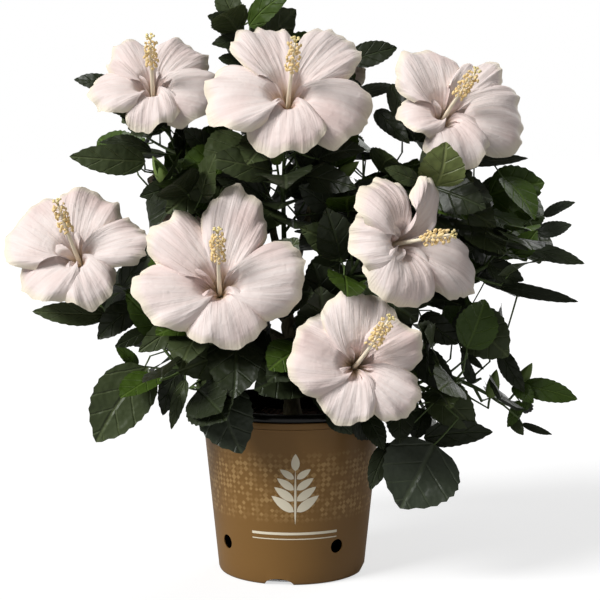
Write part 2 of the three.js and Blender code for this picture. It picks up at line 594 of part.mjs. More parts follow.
const grown = plants.map(({ mass, entry }) => grow(mass, entry));
const plantOf = (name) => grown.find((plant) => plant.mass.name === name);
for (const flower of BLOOMS) {
  const axis = vec(flower.face).normalize();
  stalkTo(plantOf(flower.mass), vec(flower.throat).addScaledVector(axis, -BLOOM.tube), axis, 1.8);
  for (const body of bloom(flower)) place(flower.mass, body, "bloom");
}
for (const one of BUDS) {
  const way = vec(one.along).normalize();
  stalkTo(plantOf(one.mass), vec(one.at).addScaledVector(way, -BUD.length / 2), way, 1.3);
  place(one.mass, bud(one), "bud");
}
for (const one of LEAVES) {
  const start = vec(one.start);
  const tip = vec(one.tip);
  const root = nearestWood(plantOf(one.mass), start);
  const body = leaf(root, start, tip, leafFace(start, one.out), one.wide * start.distanceTo(tip), LEAF.full);
  if (!blocked(one.mass, body, LEAF.sunkByHand)) place(one.mass, body, "leaf");
}
for (const plant of grown) clothe(plant);

for (const { mass } of grown) {
  const pieces = placed.filter(({ owner }) => owner === mass.name).map(({ body }) => body);
  const whole = largestBody(wasm.Manifold.union(pieces).simplify(SLIVER));
  parts.add(meshOf(`foliage_${mass.name}`, whole, FOLIAGE));
}

export default parts;
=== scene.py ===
import json
import math
import random

import bpy
import numpy as np
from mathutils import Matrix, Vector, noise
from mathutils.bvhtree import BVHTree

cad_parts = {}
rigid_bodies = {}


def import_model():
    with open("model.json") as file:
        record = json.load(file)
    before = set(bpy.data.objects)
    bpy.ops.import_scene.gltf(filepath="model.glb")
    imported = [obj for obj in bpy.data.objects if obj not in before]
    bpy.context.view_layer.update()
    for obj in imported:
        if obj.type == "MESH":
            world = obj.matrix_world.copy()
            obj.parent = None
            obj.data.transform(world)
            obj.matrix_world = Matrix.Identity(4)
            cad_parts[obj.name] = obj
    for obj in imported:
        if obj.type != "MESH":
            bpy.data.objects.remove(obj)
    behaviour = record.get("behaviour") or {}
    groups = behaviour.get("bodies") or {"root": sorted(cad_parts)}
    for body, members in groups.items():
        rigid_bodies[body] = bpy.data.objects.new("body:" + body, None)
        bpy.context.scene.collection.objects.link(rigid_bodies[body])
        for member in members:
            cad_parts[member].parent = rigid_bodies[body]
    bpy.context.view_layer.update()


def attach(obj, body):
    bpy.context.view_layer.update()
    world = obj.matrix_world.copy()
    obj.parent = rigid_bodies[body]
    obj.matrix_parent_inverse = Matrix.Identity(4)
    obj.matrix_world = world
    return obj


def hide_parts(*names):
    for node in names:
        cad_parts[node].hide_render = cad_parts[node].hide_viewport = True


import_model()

MM = 0.001
UP = np.array([0.0, 0.0, 1.0])
GOLDEN_ANGLE = math.radians(137.508)


def table(names, rows):
    """Each row as a dictionary, from the names of its columns."""
    return [dict(zip(names.split(), row)) for row in rows]


# ---------------------------------------------------------------- sizes (mm)
POT = {
    "height": 171, "base_radius": 73.5, "spread": 0.1025, "wall": 1.8, "skin": 0.9, "floor": 3,
    "foot_round": 3.4, "step_height": 156.5, "band_height": 163, "band_out": 1.4, "bead": 3.6,
    "notches": 4, "notch_width": 29, "notch_height": 6.5, "notch_depth": 14, "notch_turn": -9.8,
    "holes": 4, "hole_radius": 7, "hole_height": 37, "hole_depth": 12, "hole_turn": 35.2,
    "sides": 224, "print_radius": 82,
}
SPRIG = {"across": 4, "foot": 66, "pairs": 4, "spacing": 11, "length": 27, "width": 9.4, "lean": 0.95}
STRIPES = {"from": -42, "to": 50, "heights_and_widths": ((51.5, 2.6), (46.8, 1.0))}
SOIL = {"top": 150, "foot": 120, "rings": 26, "sides": 72, "chips": 520}
CAMERA = {"place": [8.5, -1600, 427], "down": 5.5, "lens": 96, "sensor": 36, "picture": 600}
TRUNK = {"foot": [1, 4, 147], "top": [-7, 0, 322], "flare": 13, "base": 8.6, "tip": 4.4}
BOUGH = {"base": 4.6, "tip": 2.8}
TWIG = {"foot": 1.7, "tip": 0.9, "shoot": 34}
LEAF = {"petiole": 18, "spacing": 11, "youngest": 44, "oldest": 86, "rows": 18, "tries": 9, "crossed": 4}
OUTSIDE = {"low": np.array([-268, -222, 62]), "high": np.array([294, 230, 600])}

# Each mass of foliage: its name, how high its bough leaves the stem, how far the bough bows up,
# where the mass starts, the tip of its own stem, the length of its side twigs, its seed, and how
# many side twigs it may have. The first mass has no bough: it grows from the top of the stem.
MASSES = table("name leave bow foot tip reach seed twigs", [
    ["top", 0, 0, [-7, 0, 322], [-6, -22, 452], 60, 11, 9],
    ["peak", 270, 4, [-38, 34, 436], [-52, 12, 545], 44, 12, 7],
    ["back_top", 264, 6, [22, 54, 376], [34, 96, 462], 66, 23, 9],
    ["upper_left", 284, 8, [-80, 10, 372], [-124, -8, 446], 60, 13, 7],
    ["upper_right", 272, 8, [108, 8, 350], [150, -4, 432], 60, 14, 7],
    ["heart_right", 262, 6, [48, -8, 336], [82, -22, 398], 54, 28, 7],
    ["heart_left", 256, 6, [-50, -18, 320], [-92, -40, 362], 54, 29, 7],
    ["back_left", 250, 8, [-84, 84, 318], [-140, 128, 380], 66, 24, 9],
    ["back_right", 244, 8, [96, 82, 302], [158, 118, 352], 66, 35, 9],
    ["mid_right", 236, 6, [48, -46, 292], [74, -62, 338], 50, 17, 7],
    ["far_left", 230, 10, [-118, -14, 276], [-172, -24, 300], 56, 15, 7],
    ["right", 224, 10, [158, -2, 290], [224, -10, 330], 62, 19, 7],
    ["mid_left", 218, 6, [-36, -54, 250], [-72, -80, 280], 50, 16, 7],
    ["back_low_left", 210, 14, [-88, 66, 226], [-150, 92, 236], 64, 26, 9],
    ["low_front", 207, 8, [24, -54, 224], [44, -84, 214], 48, 18, 7],
    ["back_low_right", 202, 14, [60, 88, 222], [100, 146, 228], 64, 27, 9],
    ["low_right", 196, 22, [150, 2, 198], [214, -6, 168], 56, 20, 7],
    ["skirt_left", 192, 18, [-66, -50, 214], [-122, -66, 214], 54, 22, 7],
    ["skirt_right", 184, 22, [112, -32, 194], [150, -54, 184], 52, 21, 7],
])

# Each open flower: its mass, its throat, radius, where its face and its column point, how far its
# petals bow out, and its petals: where each tip lies across and up from the throat as seen from
# the front, how many degrees it reaches past the middle of the gap to the next petal, how far its
# tip stands before the throat, and how far its tip is drawn out.
BLOOMS = table("mass throat radius face column bow petals", [
    ["upper_left", [-133, -52, 483], 66, [0.02, -0.74, 0.67], [0.02, -0.62, 0.76], 0.12, [
        [-2, -38, 18, -6, 0], [63, 6, 18, -4, 0.02], [38, 43, 14, 2, 0.04], [-28, 44, 18, 2, 0],
        [-62, -2, 16, -6, 0.02]]],
    ["top", [-2, -78, 475], 80, [0.05, -0.82, 0.57], [0.1, -0.56, 0.82], 0.1, [
        [2, -54, 20, -6, 0], [76, -14, 14, -6, 0.03], [56, 58, 4, 4, 0.1], [-38, 68, 6, 4, 0.02],
        [-79, 8, 14, -2, 0.05]]],
    ["upper_right", [148, -52, 457], 66, [0.16, -0.84, 0.52], [0.4, -0.6, 0.66], 0.14, [
        [30, -44, 16, -4, 0], [80, 4, 20, -4, 0], [52, 46, 8, 6, 0.1], [-20, 65, 24, 4, 0],
        [-44, 2, 20, -2, 0]]],
    ["far_left", [-207, -65, 323], 69, [-0.12, -0.83, 0.54], [-0.22, -0.48, 0.84], 0.1, [
        [24, -42, 18, -4, 0.02], [68, 20, 0, 6, 0.14], [12, 63, 16, 2, 0.02], [-54, 44, 30, 2, 0],
        [-50, -30, 32, -4, 0]]],
    ["mid_left", [-66, -132, 299], 80, [0, -0.89, 0.46], [0, -0.54, 0.84], 0.1, [
        [6, -55, 26, -6, 0.03], [77, 20, 10, 0, 0.03], [24, 82, 6, 6, 0.12], [-58, 54, 12, 4, 0.12],
        [-76, 2, 16, 2, 0.03]]],
    ["mid_right", [103, -110, 337], 70, [0.56, -0.8, 0.2], [0.75, -0.64, 0.18], 0.22, [
        [70, -46, -4, 12, 0.05], [25, 58, -2, 16, 0.14], [-24, 60, 22, -8, 0], [-46, 4, 24, -8, 0],
        [14, -58, 26, 4, 0.03]]],
    ["low_front", [61, -140, 226], 63, [0.1, -0.97, 0.22], [0.44, -0.54, 0.72], 0.1, [
        [-8, -52, 22, -4, 0.02], [54, -36, 8, 2, 0.06], [56, 26, 20, 2, 0.02], [6, 68, 20, 0, 0],
        [-61, 22, 22, -2, 0]]],
    ["back_top", [12, 142, 496], 68, [0.08, 0.72, 0.69], [0, 0.55, 0.83], 0.14, [
        [4, 50, 14, 4, 0.04], [-60, 22, 18, 0, 0.02], [-42, -36, 14, -6, 0], [38, -40, 18, -6, 0.03],
        [60, 18, 14, 2, 0.05]]],
    ["back_left", [-102, 168, 376], 62, [-0.42, 0.78, 0.46], [-0.36, 0.6, 0.72], 0.16, [
        [8, 56, 14, 4, 0.05], [-44, 24, 18, 0, 0.02], [-34, -44, 20, -6, 0.02], [28, -54, 14, -6, 0],
        [58, 12, 16, 2, 0.04]]],
    ["back_right", [126, 176, 316], 70, [0.3, 0.88, 0.36], [0.34, 0.62, 0.7], 0.12, [
        [-6, 64, 16, 4, 0.03], [-64, 18, 18, 0, 0], [-42, -50, 14, -4, 0.02], [36, -54, 14, -6, 0.04],
        [62, 22, 18, 2, 0]]],
])
# An open flower's funnel lies this deep, on a tube this long that the calyx holds. The column
# bears its anthers on the part from "bare" to "end", as shares of its length.
FUNNEL = 24
TUBE = 46
COLUMN = {"length": 66, "foot": 2.5, "tip": 1.15, "anthers": 50, "bare": 0.62, "end": 0.97}

# Leaves that shape the outline or show in front, by mass: where the blade starts, its tip, its
# width, how far its face turns from up (0) to the front (1), and its tone. The grey tone is a paler
# grey-green that stands in for a painted sheen of gloss.
LEAVES = {
    "peak": [
        [[-42, 2, 545], [0, -14, 577], 25, 0.8, "fresh"], [[-56, 26, 555], [-71, 34, 588], 26, 0.8, "mid"],
        [[-29, 6, 557], [-11, 0, 584], 20, 0.7, "fresh"], [[-47, 10, 542], [-83, 0, 555], 24, 0.75, "dark"],
        [[-45, -10, 531], [-78, -18, 526], 20, 0.6, "dark"],
        [[-51, -8, 509], [-72, -12, 513], 14, 0.7, "dark"],
    ],
    "top": [
        [[58, 0, 511], [105, 4, 524], 26, 0.8, "dark"], [[64, -6, 478], [104, -10, 485], 17, 0.6, "dark"],
        [[-20, -58, 403], [-79, -84, 416], 32, 0.85, "mid"],
        [[-28, -54, 379], [-74, -70, 398], 25, 0.8, "dark"],
        [[26, -52, 414], [71, -74, 423], 25, 0.6, "dark"], [[12, -52, 398], [62, -80, 387], 29, 0.8, "dark"],
    ],
    "upper_left": [
        [[-170, -14, 486], [-214, -12, 492], 18, 0.7, "dark"],
        [[-149, -18, 458], [-187, -24, 468], 20, 0.7, "mid"],
        [[-136, -30, 421], [-187, -36, 430], 18, 0.5, "dark"],
        [[-142, -36, 412], [-213, -58, 417], 30, 0.9, "mid"],
        [[-119, -40, 386], [-132, -52, 414], 10, 0.8, "fresh"],
        [[-117, -34, 388], [-147, -48, 378], 21, 0.8, "dark"],
        [[-75, -44, 398], [-119, -76, 363], 44, 0.9, "mid"],
        [[-77, -40, 423], [-103, -56, 444], 23, 0.8, "dark"],
    ],
    "upper_right": [
        [[99, -10, 488], [120, -30, 431], 22, 0.8, "dark"],
        [[83, -16, 462], [115, -40, 429], 20, 0.75, "dark"],
        [[168, -22, 411], [232, -28, 415], 17, 0.5, "dark"],
        [[138, -78, 389], [145, -96, 431], 44, 0.95, "pale"],
        [[197, -6, 378], [249, -24, 391], 46, 0.9, "fresh"],
        [[137, -60, 387], [185, -80, 368], 38, 0.85, "dark"],
    ],
    "heart_right": [
        [[122, -60, 393], [89, -70, 406], 19, 0.7, "mid"],
    ],
    "right": [
        [[252, 0, 357], [284, 2, 371], 12, 0.6, "grey"], [[244, -6, 341], [279, -8, 349], 17, 0.7, "grey"],
        [[231, -14, 326], [290, -22, 311], 17, 0.75, "dark"],
        [[219, -30, 321], [240, -40, 345], 23, 0.9, "fresh"],
        [[194, -24, 311], [229, -30, 295], 22, 0.8, "dark"],
        [[206, -14, 289], [285, -20, 273], 16, 0.6, "dark"],
        [[170, -34, 261], [212, -50, 222], 50, 0.95, "mid"],
        [[208, -16, 224], [232, -24, 183], 19, 0.8, "dark"],
        [[168, -20, 227], [191, -26, 206], 9, 0.7, "dark"],
    ],
    "far_left": [
        [[-181, -46, 263], [-250, -64, 268], 24, 0.75, "mid"],
        [[-150, -44, 272], [-188, -58, 240], 29, 0.85, "dark"],
        [[-112, -62, 246], [-156, -96, 288], 34, 0.9, "fresh"],
        [[-163, -60, 291], [-133, -76, 336], 23, 0.85, "dark"],
        [[-96, -64, 256], [-146, -84, 231], 27, 0.85, "mid"],
        [[-139, -58, 248], [-169, -76, 235], 16, 0.85, "dark"],
    ],
    "mid_right": [
        [[61, -60, 333], [8, -88, 350], 38, 0.95, "mid"], [[38, -50, 367], [7, -62, 389], 27, 0.8, "grey"],
        [[125, -60, 263], [161, -70, 237], 27, 0.85, "dark"],
        [[47, -60, 316], [14, -84, 291], 32, 0.85, "dark"],
    ],
    "low_right": [
        [[232, -6, 187], [287, -12, 174], 23, 0.85, "fresh"], [[233, 0, 147], [264, 0, 136], 8, 0.7, "dark"],
        [[182, -20, 191], [168, -34, 225], 12, 0.7, "dark"],
        [[223, -10, 189], [241, -24, 172], 18, 0.8, "fresh"],
        [[229, -14, 173], [215, -26, 148], 13, 0.8, "fresh"],
        [[233, -12, 163], [242, -20, 184], 10, 0.7, "fresh"],
        [[221, -12, 154], [232, -20, 139], 12, 0.8, "mid"],
    ],
    "skirt_right": [
        [[124, -50, 227], [158, -64, 193], 31, 0.9, "dark"],
        [[136, -52, 192], [177, -70, 155], 42, 0.9, "mid"],
        [[129, -62, 144], [195, -74, 152], 26, 0.85, "dark"],
        [[138, -78, 141], [104, -97, 82], 78, 0.95, "grey"],
        [[96, -72, 141], [76, -88, 98], 21, 0.85, "dark"],
        [[107, -76, 178], [104, -92, 144], 28, 0.85, "dark"],
        [[129, -42, 170], [119, -58, 140], 22, 0.8, "dark"],
        [[98, -60, 157], [125, -70, 175], 19, 0.8, "dark"],
    ],
    "skirt_left": [
        [[-139, -66, 214], [-188, -80, 143], 56, 0.95, "mid"],
        [[-41, -92, 238], [-106, -118, 217], 43, 0.95, "mid"],
        [[-150, -52, 213], [-171, -60, 235], 13, 0.8, "fresh"],
        [[-108, -56, 216], [-125, -62, 166], 23, 0.85, "dark"],
        [[-102, -66, 202], [-116, -72, 154], 14, 0.85, "mid"],
        [[-33, -88, 232], [-80, -104, 192], 39, 0.9, "grey"],
        [[-68, -100, 200], [-46, -122, 140], 54, 0.95, "grey"],
    ],
    "mid_left": [
        [[-22, -70, 229], [-5, -92, 188], 30, 0.9, "dark"],
        [[-28, -60, 250], [-43, -84, 196], 29, 0.85, "dark"],
    ],
    "low_front": [
        [[10, -60, 222], [-8, -84, 188], 27, 0.85, "dark"],
        [[37, -86, 175], [58, -104, 155], 21, 0.7, "grey"],
        [[72, -80, 169], [88, -98, 139], 21, 0.8, "dark"],
    ],
}

# Each bud: its mass, its middle and where it points.
BUDS = table("mass at along", [
    ["upper_left", [-128, -44, 404], [-0.4, -0.2, 0.9]],
    ["top", [-15, -62, 424], [-0.1, -0.2, 1]],
    ["top", [54, -50, 404], [0.7, -0.3, 0.5]],
    ["low_right", [201, -22, 192], [0.2, -0.2, 1]],
    ["low_right", [236, 2, 196], [0.5, 0.1, 0.9]],
    ["back_right", [196, 120, 372], [0.4, 0.3, 0.9]],
    ["back_low_left", [-178, 112, 262], [-0.4, 0.3, 0.9]],
])
BUD_LENGTH = 30
BUD_RADIUS = 6.5

# The crown's edge and the gaps through it where sky shows, across and down in the camera's
# picture of 600 by 600, and each gap's radius.
EDGE = [
    [213, 2], [300, 2], [290, 24], [350, 40], [394, 52], [378, 72], [362, 82], [400, 62], [440, 60],
    [500, 75], [518, 115], [497, 136], [494, 152], [524, 158], [500, 166], [540, 170], [544, 205],
    [566, 206], [548, 232], [580, 262], [525, 268], [522, 288], [560, 303], [506, 304], [508, 330],
    [504, 360], [524, 392], [560, 396], [540, 412], [530, 426], [496, 436], [445, 446], [456, 480],
    [400, 490], [376, 446], [366, 452], [350, 440], [330, 430], [324, 402], [258, 400], [248, 438],
    [210, 444], [190, 426], [165, 422], [152, 400], [110, 430], [96, 388], [125, 350], [104, 330],
    [100, 318], [50, 312], [50, 296], [120, 262], [150, 246], [142, 200], [150, 184], [84, 160],
    [104, 130], [128, 126], [104, 114], [82, 82], [110, 75], [226, 62], [233, 42], [208, 28],
]
SKY = [
    [112, 123, 7], [102, 122, 5], [213, 107, 8], [199, 124, 5], [236, 125, 4], [157, 141, 5],
    [149, 168, 7], [281, 166, 4], [383, 68, 11], [368, 78, 6], [372, 102, 5], [386, 98, 5], [374, 122, 5],
    [372, 135, 7], [388, 141, 8], [399, 152, 7], [414, 152, 5], [365, 167, 6], [345, 178, 6],
    [326, 181, 4], [480, 173, 6], [478, 292, 8], [492, 298, 6], [430, 313, 6], [414, 336, 4],
    [445, 346, 6], [456, 350, 5], [482, 357, 7], [492, 364, 6], [464, 372, 8], [475, 386, 8],
    [427, 385, 5], [416, 418, 5], [383, 418, 5], [384, 437, 6], [498, 430, 6], [510, 385, 6],
    [490, 405, 8], [487, 418, 6], [182, 222, 5], [200, 221, 4], [140, 327, 5], [132, 334, 5],
    [146, 360, 7], [160, 356, 5], [172, 380, 5], [163, 394, 6], [190, 392, 4], [261, 337, 5],
    [304, 262, 4],
]


# ---------------------------------------------------------------- small helpers
def vec(point):
    return np.array(point, dtype=float)


def unit(direction):
    return direction / np.linalg.norm(direction)


def mix(a, b, t):
    return a + (b - a) * t


def square_to(direction):
    """Two directions square to a line and to each other."""
    helper = UP if abs(direction[2]) < 0.9 else vec([1, 0, 0])
    side = unit(np.cross(helper, direction))
    return side, np.cross(direction, side)


def around(count):
    """Evenly spaced angles of a full turn."""
    return 2 * math.pi * np.arange(count) / count


def fan(angle, side, other):
    """The direction at an angle in the plane of two directions that are square to each other."""
    return math.cos(angle) * side + math.sin(angle) * other


def bowed(foot, bend, tip, count):
    """Points along a curve that starts towards bend and ends at tip."""
    t = np.linspace(0, 1, count)[:, None]
    return (1 - t) ** 2 * foot + 2 * t * (1 - t) * bend + t ** 2 * tip


def seen(points):
    """Where points in millimetres lie in the camera's picture, across and down."""
    apart = points - vec(CAMERA["place"])
    down = math.radians(CAMERA["down"])
    ahead = apart[:, 1] * math.cos(down) - apart[:, 2] * math.sin(down)
    rise = apart[:, 1] * math.sin(down) + apart[:, 2] * math.cos(down)
    focal = CAMERA["lens"] / CAMERA["sensor"] * CAMERA["picture"]
    middle = CAMERA["picture"] / 2
    return np.stack([middle + focal * apart[:, 0] / ahead, middle - focal * rise / ahead], axis=1)


def inside(outline, spots):
    """Whether every spot lies within an outline."""
    corners = np.array(outline, dtype=float)
    after = np.roll(corners, -1, axis=0)
    for x, y in spots:
        crossed = (corners[:, 1] > y) != (after[:, 1] > y)
        rise = np.where(crossed, after[:, 1] - corners[:, 1], 1)
        left = corners[:, 0] + (y - corners[:, 1]) / rise * (after[:, 0] - corners[:, 0])
        if np.count_nonzero(crossed & (x < left)) % 2 == 0:
            return False
    return True


class Line:
    """A limb's middle line, with a place and a direction at any share of its length."""

    def __init__(self, points):
        self.points = points
        steps = np.linalg.norm(np.diff(points, axis=0), axis=1)
        self.reached = np.concatenate([[0], np.cumsum(steps)])
        self.length = self.reached[-1]

    def at(self, t):
        return np.array([np.interp(t * self.length, self.reached, self.points[:, k]) for k in range(3)])

    def way(self, t):
        return unit(self.at(min(1, t + 0.03)) - self.at(max(0, t - 0.03)))


class Limb:
    """A stem, twig, shoot or stalk: its line, its radius at each end, and how far up it bears."""

    def __init__(self, line, foot, tip, sides=6, parent=None, fork=0.0, used=0.0):
        self.line = line
        self.foot = foot
        self.tip = tip
        self.sides = sides
        self.parent = parent
        self.fork = fork
        self.used = used

    def bear(self, share):
        self.used = max(self.used, share)
        if self.parent:
            self.parent.bear(self.fork)


def placed(name, data):
    """A new object in the scene that holds a mesh, a light or a camera."""
    obj = bpy.data.objects.new(name, data)
    bpy.context.scene.collection.objects.link(obj)
    return obj


class Pile:
    """Points and faces of one kind, gathered until they become one object."""

    def __init__(self):
        self.points = []
        self.faces = []
        self.places = []
        self.count = 0

    def add(self, points, faces, places=None):
        self.points.append(points)
        self.faces.extend([[corner + self.count for corner in face] for face in faces])
        self.places.append(places if places is not None else np.zeros((len(points), 2)))
        self.count += len(points)

    def made(self, name, material, smooth=True):
        mesh = bpy.data.meshes.new(name)
        mesh.from_pydata((np.concatenate(self.points) * MM).tolist(), [], self.faces)
        layer = mesh.uv_layers.new(name="surface")
        corners = np.zeros(len(mesh.loops), dtype=np.int32)
        mesh.loops.foreach_get("vertex_index", corners)
        places = np.concatenate(self.places)
        layer.data.foreach_set("uv", places[corners].astype(np.float32).ravel())
        mesh.polygons.foreach_set("use_smooth", [smooth] * len(mesh.polygons))
        mesh.materials.append(material)
        mesh.update()
        return placed(name, mesh)


def make_real(obj, modifier):
    """Keeps what a modifier makes of an object as its mesh, and takes the modifier away."""
    depsgraph = bpy.context.evaluated_depsgraph_get()
    result = bpy.data.meshes.new_from_object(obj.evaluated_get(depsgraph))
    obj.modifiers.remove(modifier)
    obj.data = result


def grid_faces(rows, columns, closed=False):
    """Faces of a grid of points that runs row by row, with each row joined up if closed."""
    faces = []
    for row in range(rows - 1):
        for column in range(columns if closed else columns - 1):
            a = row * columns + column
            b = row * columns + (column + 1) % columns
            faces.append([a, b, b + columns, a + columns])
    return faces


def capped_faces(rings, sides):
    """Faces of a closed skin over rings of points, with a cap at each end."""
    last = (rings - 1) * sides
    caps = [list(range(sides - 1, -1, -1)), list(range(last, last + sides))]
    return grid_faces(rings, sides, closed=True) + caps


def tube(points, radii, sides, rough=0.0):
    """A closed round limb along a line of points, its skin uneven by a share of its radius."""
    ways = np.gradient(points, axis=0)
    side = square_to(unit(ways[0]))[0]
    rings = []
    places = []
    run = 0.0
    for i, (point, way, radius) in enumerate(zip(points, ways, radii)):
        way = unit(way)
        side = unit(side - way * side.dot(way))
        other = np.cross(way, side)
        if i:
            run += np.linalg.norm(point - points[i - 1])
        for k, angle in enumerate(around(sides)):
            out = fan(angle, side, other)
            reach = radius
            if rough:
                lumps = noise.noise(Vector((point + out * radius) * 0.12))
                wrinkles = noise.noise(Vector((angle * 4, run * 0.03, i)))
                reach *= 1 + rough * lumps + 0.6 * rough * wrinkles
            rings.append(point + out * reach)
            places.append([k / sides, run])
    return np.array(rings), capped_faces(len(points), sides), np.array(places)


def spun(centre, along, profile, sides):
    """A round piece along a direction from a point, from pairs of a radius and a distance."""
    side, other = square_to(unit(along))
    ring = np.array([fan(angle, side, other) for angle in around(sides)])
    points = np.concatenate([centre + along * d + ring * max(r, 0.01) for r, d in profile])
    places = np.array([[k / sides, d] for r, d in profile for k in range(sides)])
    return points, capped_faces(len(profile), sides), places


# ---------------------------------------------------------------- materials
def linear(hex_colour):
    """An sRGB hex colour as linear red, green, blue and alpha."""
    parts = [int(hex_colour[i:i + 2], 16) / 255 for i in (1, 3, 5)]
    return (*[c / 12.92 if c <= 0.04045 else ((c + 0.055) / 1.055) ** 2.4 for c in parts], 1)


def node(tree, kind, links=None, **settings):
    """Adds a node. links maps a socket to a value, to another node's output, or to a whole node,
    which stands for its first output."""
    made = tree.nodes.new(kind)
    for key, value in settings.items():
        setattr(made, key, value)
    for socket, value in (links or {}).items():
        if isinstance(value, bpy.types.Node):
            value = value.outputs[0]
        if isinstance(value, bpy.types.NodeSocket):
            tree.links.new(value, made.inputs[socket])
        else:
            made.inputs[socket].default_value = value
    return made


def blank(name, colour, roughness, **sockets):
    """A material with one Principled shader, its tree, and that shader."""
    material = bpy.data.materials.new(name)
    material.use_nodes = True
    tree = material.node_tree
    shader = tree.nodes["Principled BSDF"]
    shader.inputs["Base Color"].default_value = linear(colour)
    shader.inputs["Roughness"].default_value = roughness
    for socket, value in sockets.items():
        shader.inputs[socket.replace("_", " ")].default_value = value
    return material, tree, shader


def blend(tree, factor, low, high):
    """An output whose colour runs from low to high with a factor. low may be an output."""
    links = {"Factor": factor, "A": low, "B": linear(high)}
    return node(tree, "ShaderNodeMix", links, data_type="RGBA").outputs["Result"]


def two_tone(tree, shader, factor, low, high):
    """The base colour runs from low to high with a factor."""
    tree.links.new(blend(tree, factor, linear(low), high), shader.inputs["Base Color"])


def relief(tree, shader, height, distance):
    bump = node(tree, "ShaderNodeBump", {"Height": height, "Distance": distance, "Strength": 1.0})
    tree.links.new(bump.outputs["Normal"], shader.inputs["Normal"])


def gold_printed_plastic():
    """Thermoformed polypropylene printed dull gold: a satin sheen and a band of paler lozenges."""
    material, tree, shader = blank("gold printed polypropylene", "#866230", 0.4, Metallic=0.2, IOR=1.49)
    place = node(tree, "ShaderNodeUVMap", uv_map="surface")
    height = node(tree, "ShaderNodeSeparateXYZ", {"Vector": place}).outputs["Y"]
    cells = node(tree, "ShaderNodeTexVoronoi", {"Vector": place, "Scale": 0.2, "Randomness": 0.3},
                 distance="MANHATTAN")
    spots = node(tree, "ShaderNodeMapRange", {"Value": cells.outputs["Distance"],
                                              "From Min": 0.7, "From Max": 0.6})
    some = node(tree, "ShaderNodeMapRange", {"Value": cells.outputs["Color"],
                                             "From Min": 0.2, "From Max": 0.65})
    low = node(tree, "ShaderNodeMapRange", {"Value": height, "From Min": 62.0, "From Max": 72.0})
    high = node(tree, "ShaderNodeMapRange", {"Value": height, "From Min": 136.0, "From Max": 122.0})
    factor = low
    for other in (high, spots, some):
        factor = node(tree, "ShaderNodeMath", {0: factor, 1: other}, operation="MULTIPLY")
    two_tone(tree, shader, factor, "#84602f", "#a98653")
    return material


def black_plastic():
    """Black polypropylene as it comes from the mould: glossy, with soft highlights on the lip."""
    return blank("black polypropylene", "#0c0c0c", 0.22, IOR=1.49)[0]


def cream_ink():
    """Screen-printed ink: flat, opaque, a little rougher than the plastic under it."""
    return blank("cream screen ink", "#e6dcc4", 0.5, IOR=1.5)[0]


def potting_mix():
    """Moist peat: nearly black brown with paler crumbs, no gloss."""
    material, tree, shader = blank("moist peat", "#2a1d15", 0.95)
    place = node(tree, "ShaderNodeTexCoord").outputs["Object"]
    crumbs = node(tree, "ShaderNodeTexNoise", {"Vector": place, "Scale": 260.0, "Detail": 6.0})
    two_tone(tree, shader, crumbs, "#150e0a", "#4a3526")
    relief(tree, shader, crumbs, 0.003)
    return material


def bark_chip():
    """Composted pine bark: brown flakes that catch the light on their edges."""
    return blank("composted pine bark", "#4d3424", 0.85)[0]


def grey_bark():
    """Thin hibiscus bark: grey-brown and finely wrinkled along the limb, matt."""
    material, tree, shader = blank("hibiscus bark", "#6b6248", 0.8)
    place = node(tree, "ShaderNodeTexCoord").outputs["Object"]
    stretched = node(tree, "ShaderNodeMapping", {"Vector": place, "Scale": (1.0, 1.0, 0.25)})
    wrinkles = node(tree, "ShaderNodeTexNoise", {"Vector": stretched, "Scale": 420.0, "Detail": 5.0})
    two_tone(tree, shader, wrinkles, "#3f3827", "#8d8363")
    relief(tree, shader, wrinkles, 0.0012)
    return material


def green_shoot():
    """Young hibiscus wood: smooth olive green skin with a faint wax sheen."""
    return blank("green shoot", "#56683a", 0.5, IOR=1.45)[0]


def leaf_skin(name, body, vein, roughness):
    """Waxy hibiscus leaf: sunk veins that show a shade paler, and a soft gloss on the swell between."""
    slope = -0.34
    pairs = 7.0
    material, tree, shader = blank(name, body, roughness, IOR=1.38)
    place = node(tree, "ShaderNodeUVMap", uv_map="surface")
    apart = node(tree, "ShaderNodeSeparateXYZ", {"Vector": place})
    across = node(tree, "ShaderNodeMath", {0: apart.outputs["X"]}, operation="ABSOLUTE")
    run = node(tree, "ShaderNodeMath", {0: across, 1: slope, 2: apart.outputs["Y"]},
               operation="MULTIPLY_ADD")
    count = node(tree, "ShaderNodeMath", {0: run, 1: pairs}, operation="MULTIPLY")
    wave = node(tree, "ShaderNodeMath", {0: count, 1: 1.0}, operation="PINGPONG")
    side_veins = node(tree, "ShaderNodeMapRange", {"Value": wave, "From Min": 0.16, "From Max": 0.0,
                                                   "To Max": 0.8})
    midrib = node(tree, "ShaderNodeMapRange", {"Value": across, "From Min": 0.09, "From Max": 0.02})
    veins = node(tree, "ShaderNodeMath", {0: side_veins, 1: midrib}, operation="MAXIMUM")
    two_tone(tree, shader, veins, body, vein)
    there = node(tree, "ShaderNodeTexCoord").outputs["Object"]
    quilt = node(tree, "ShaderNodeTexNoise", {"Vector": there, "Scale": 110.0, "Detail": 1.0})
    swell = node(tree, "ShaderNodeMath", {0: veins, 1: -0.5, 2: quilt}, operation="MULTIPLY_ADD")
    relief(tree, shader, swell, 0.0018)
    return material


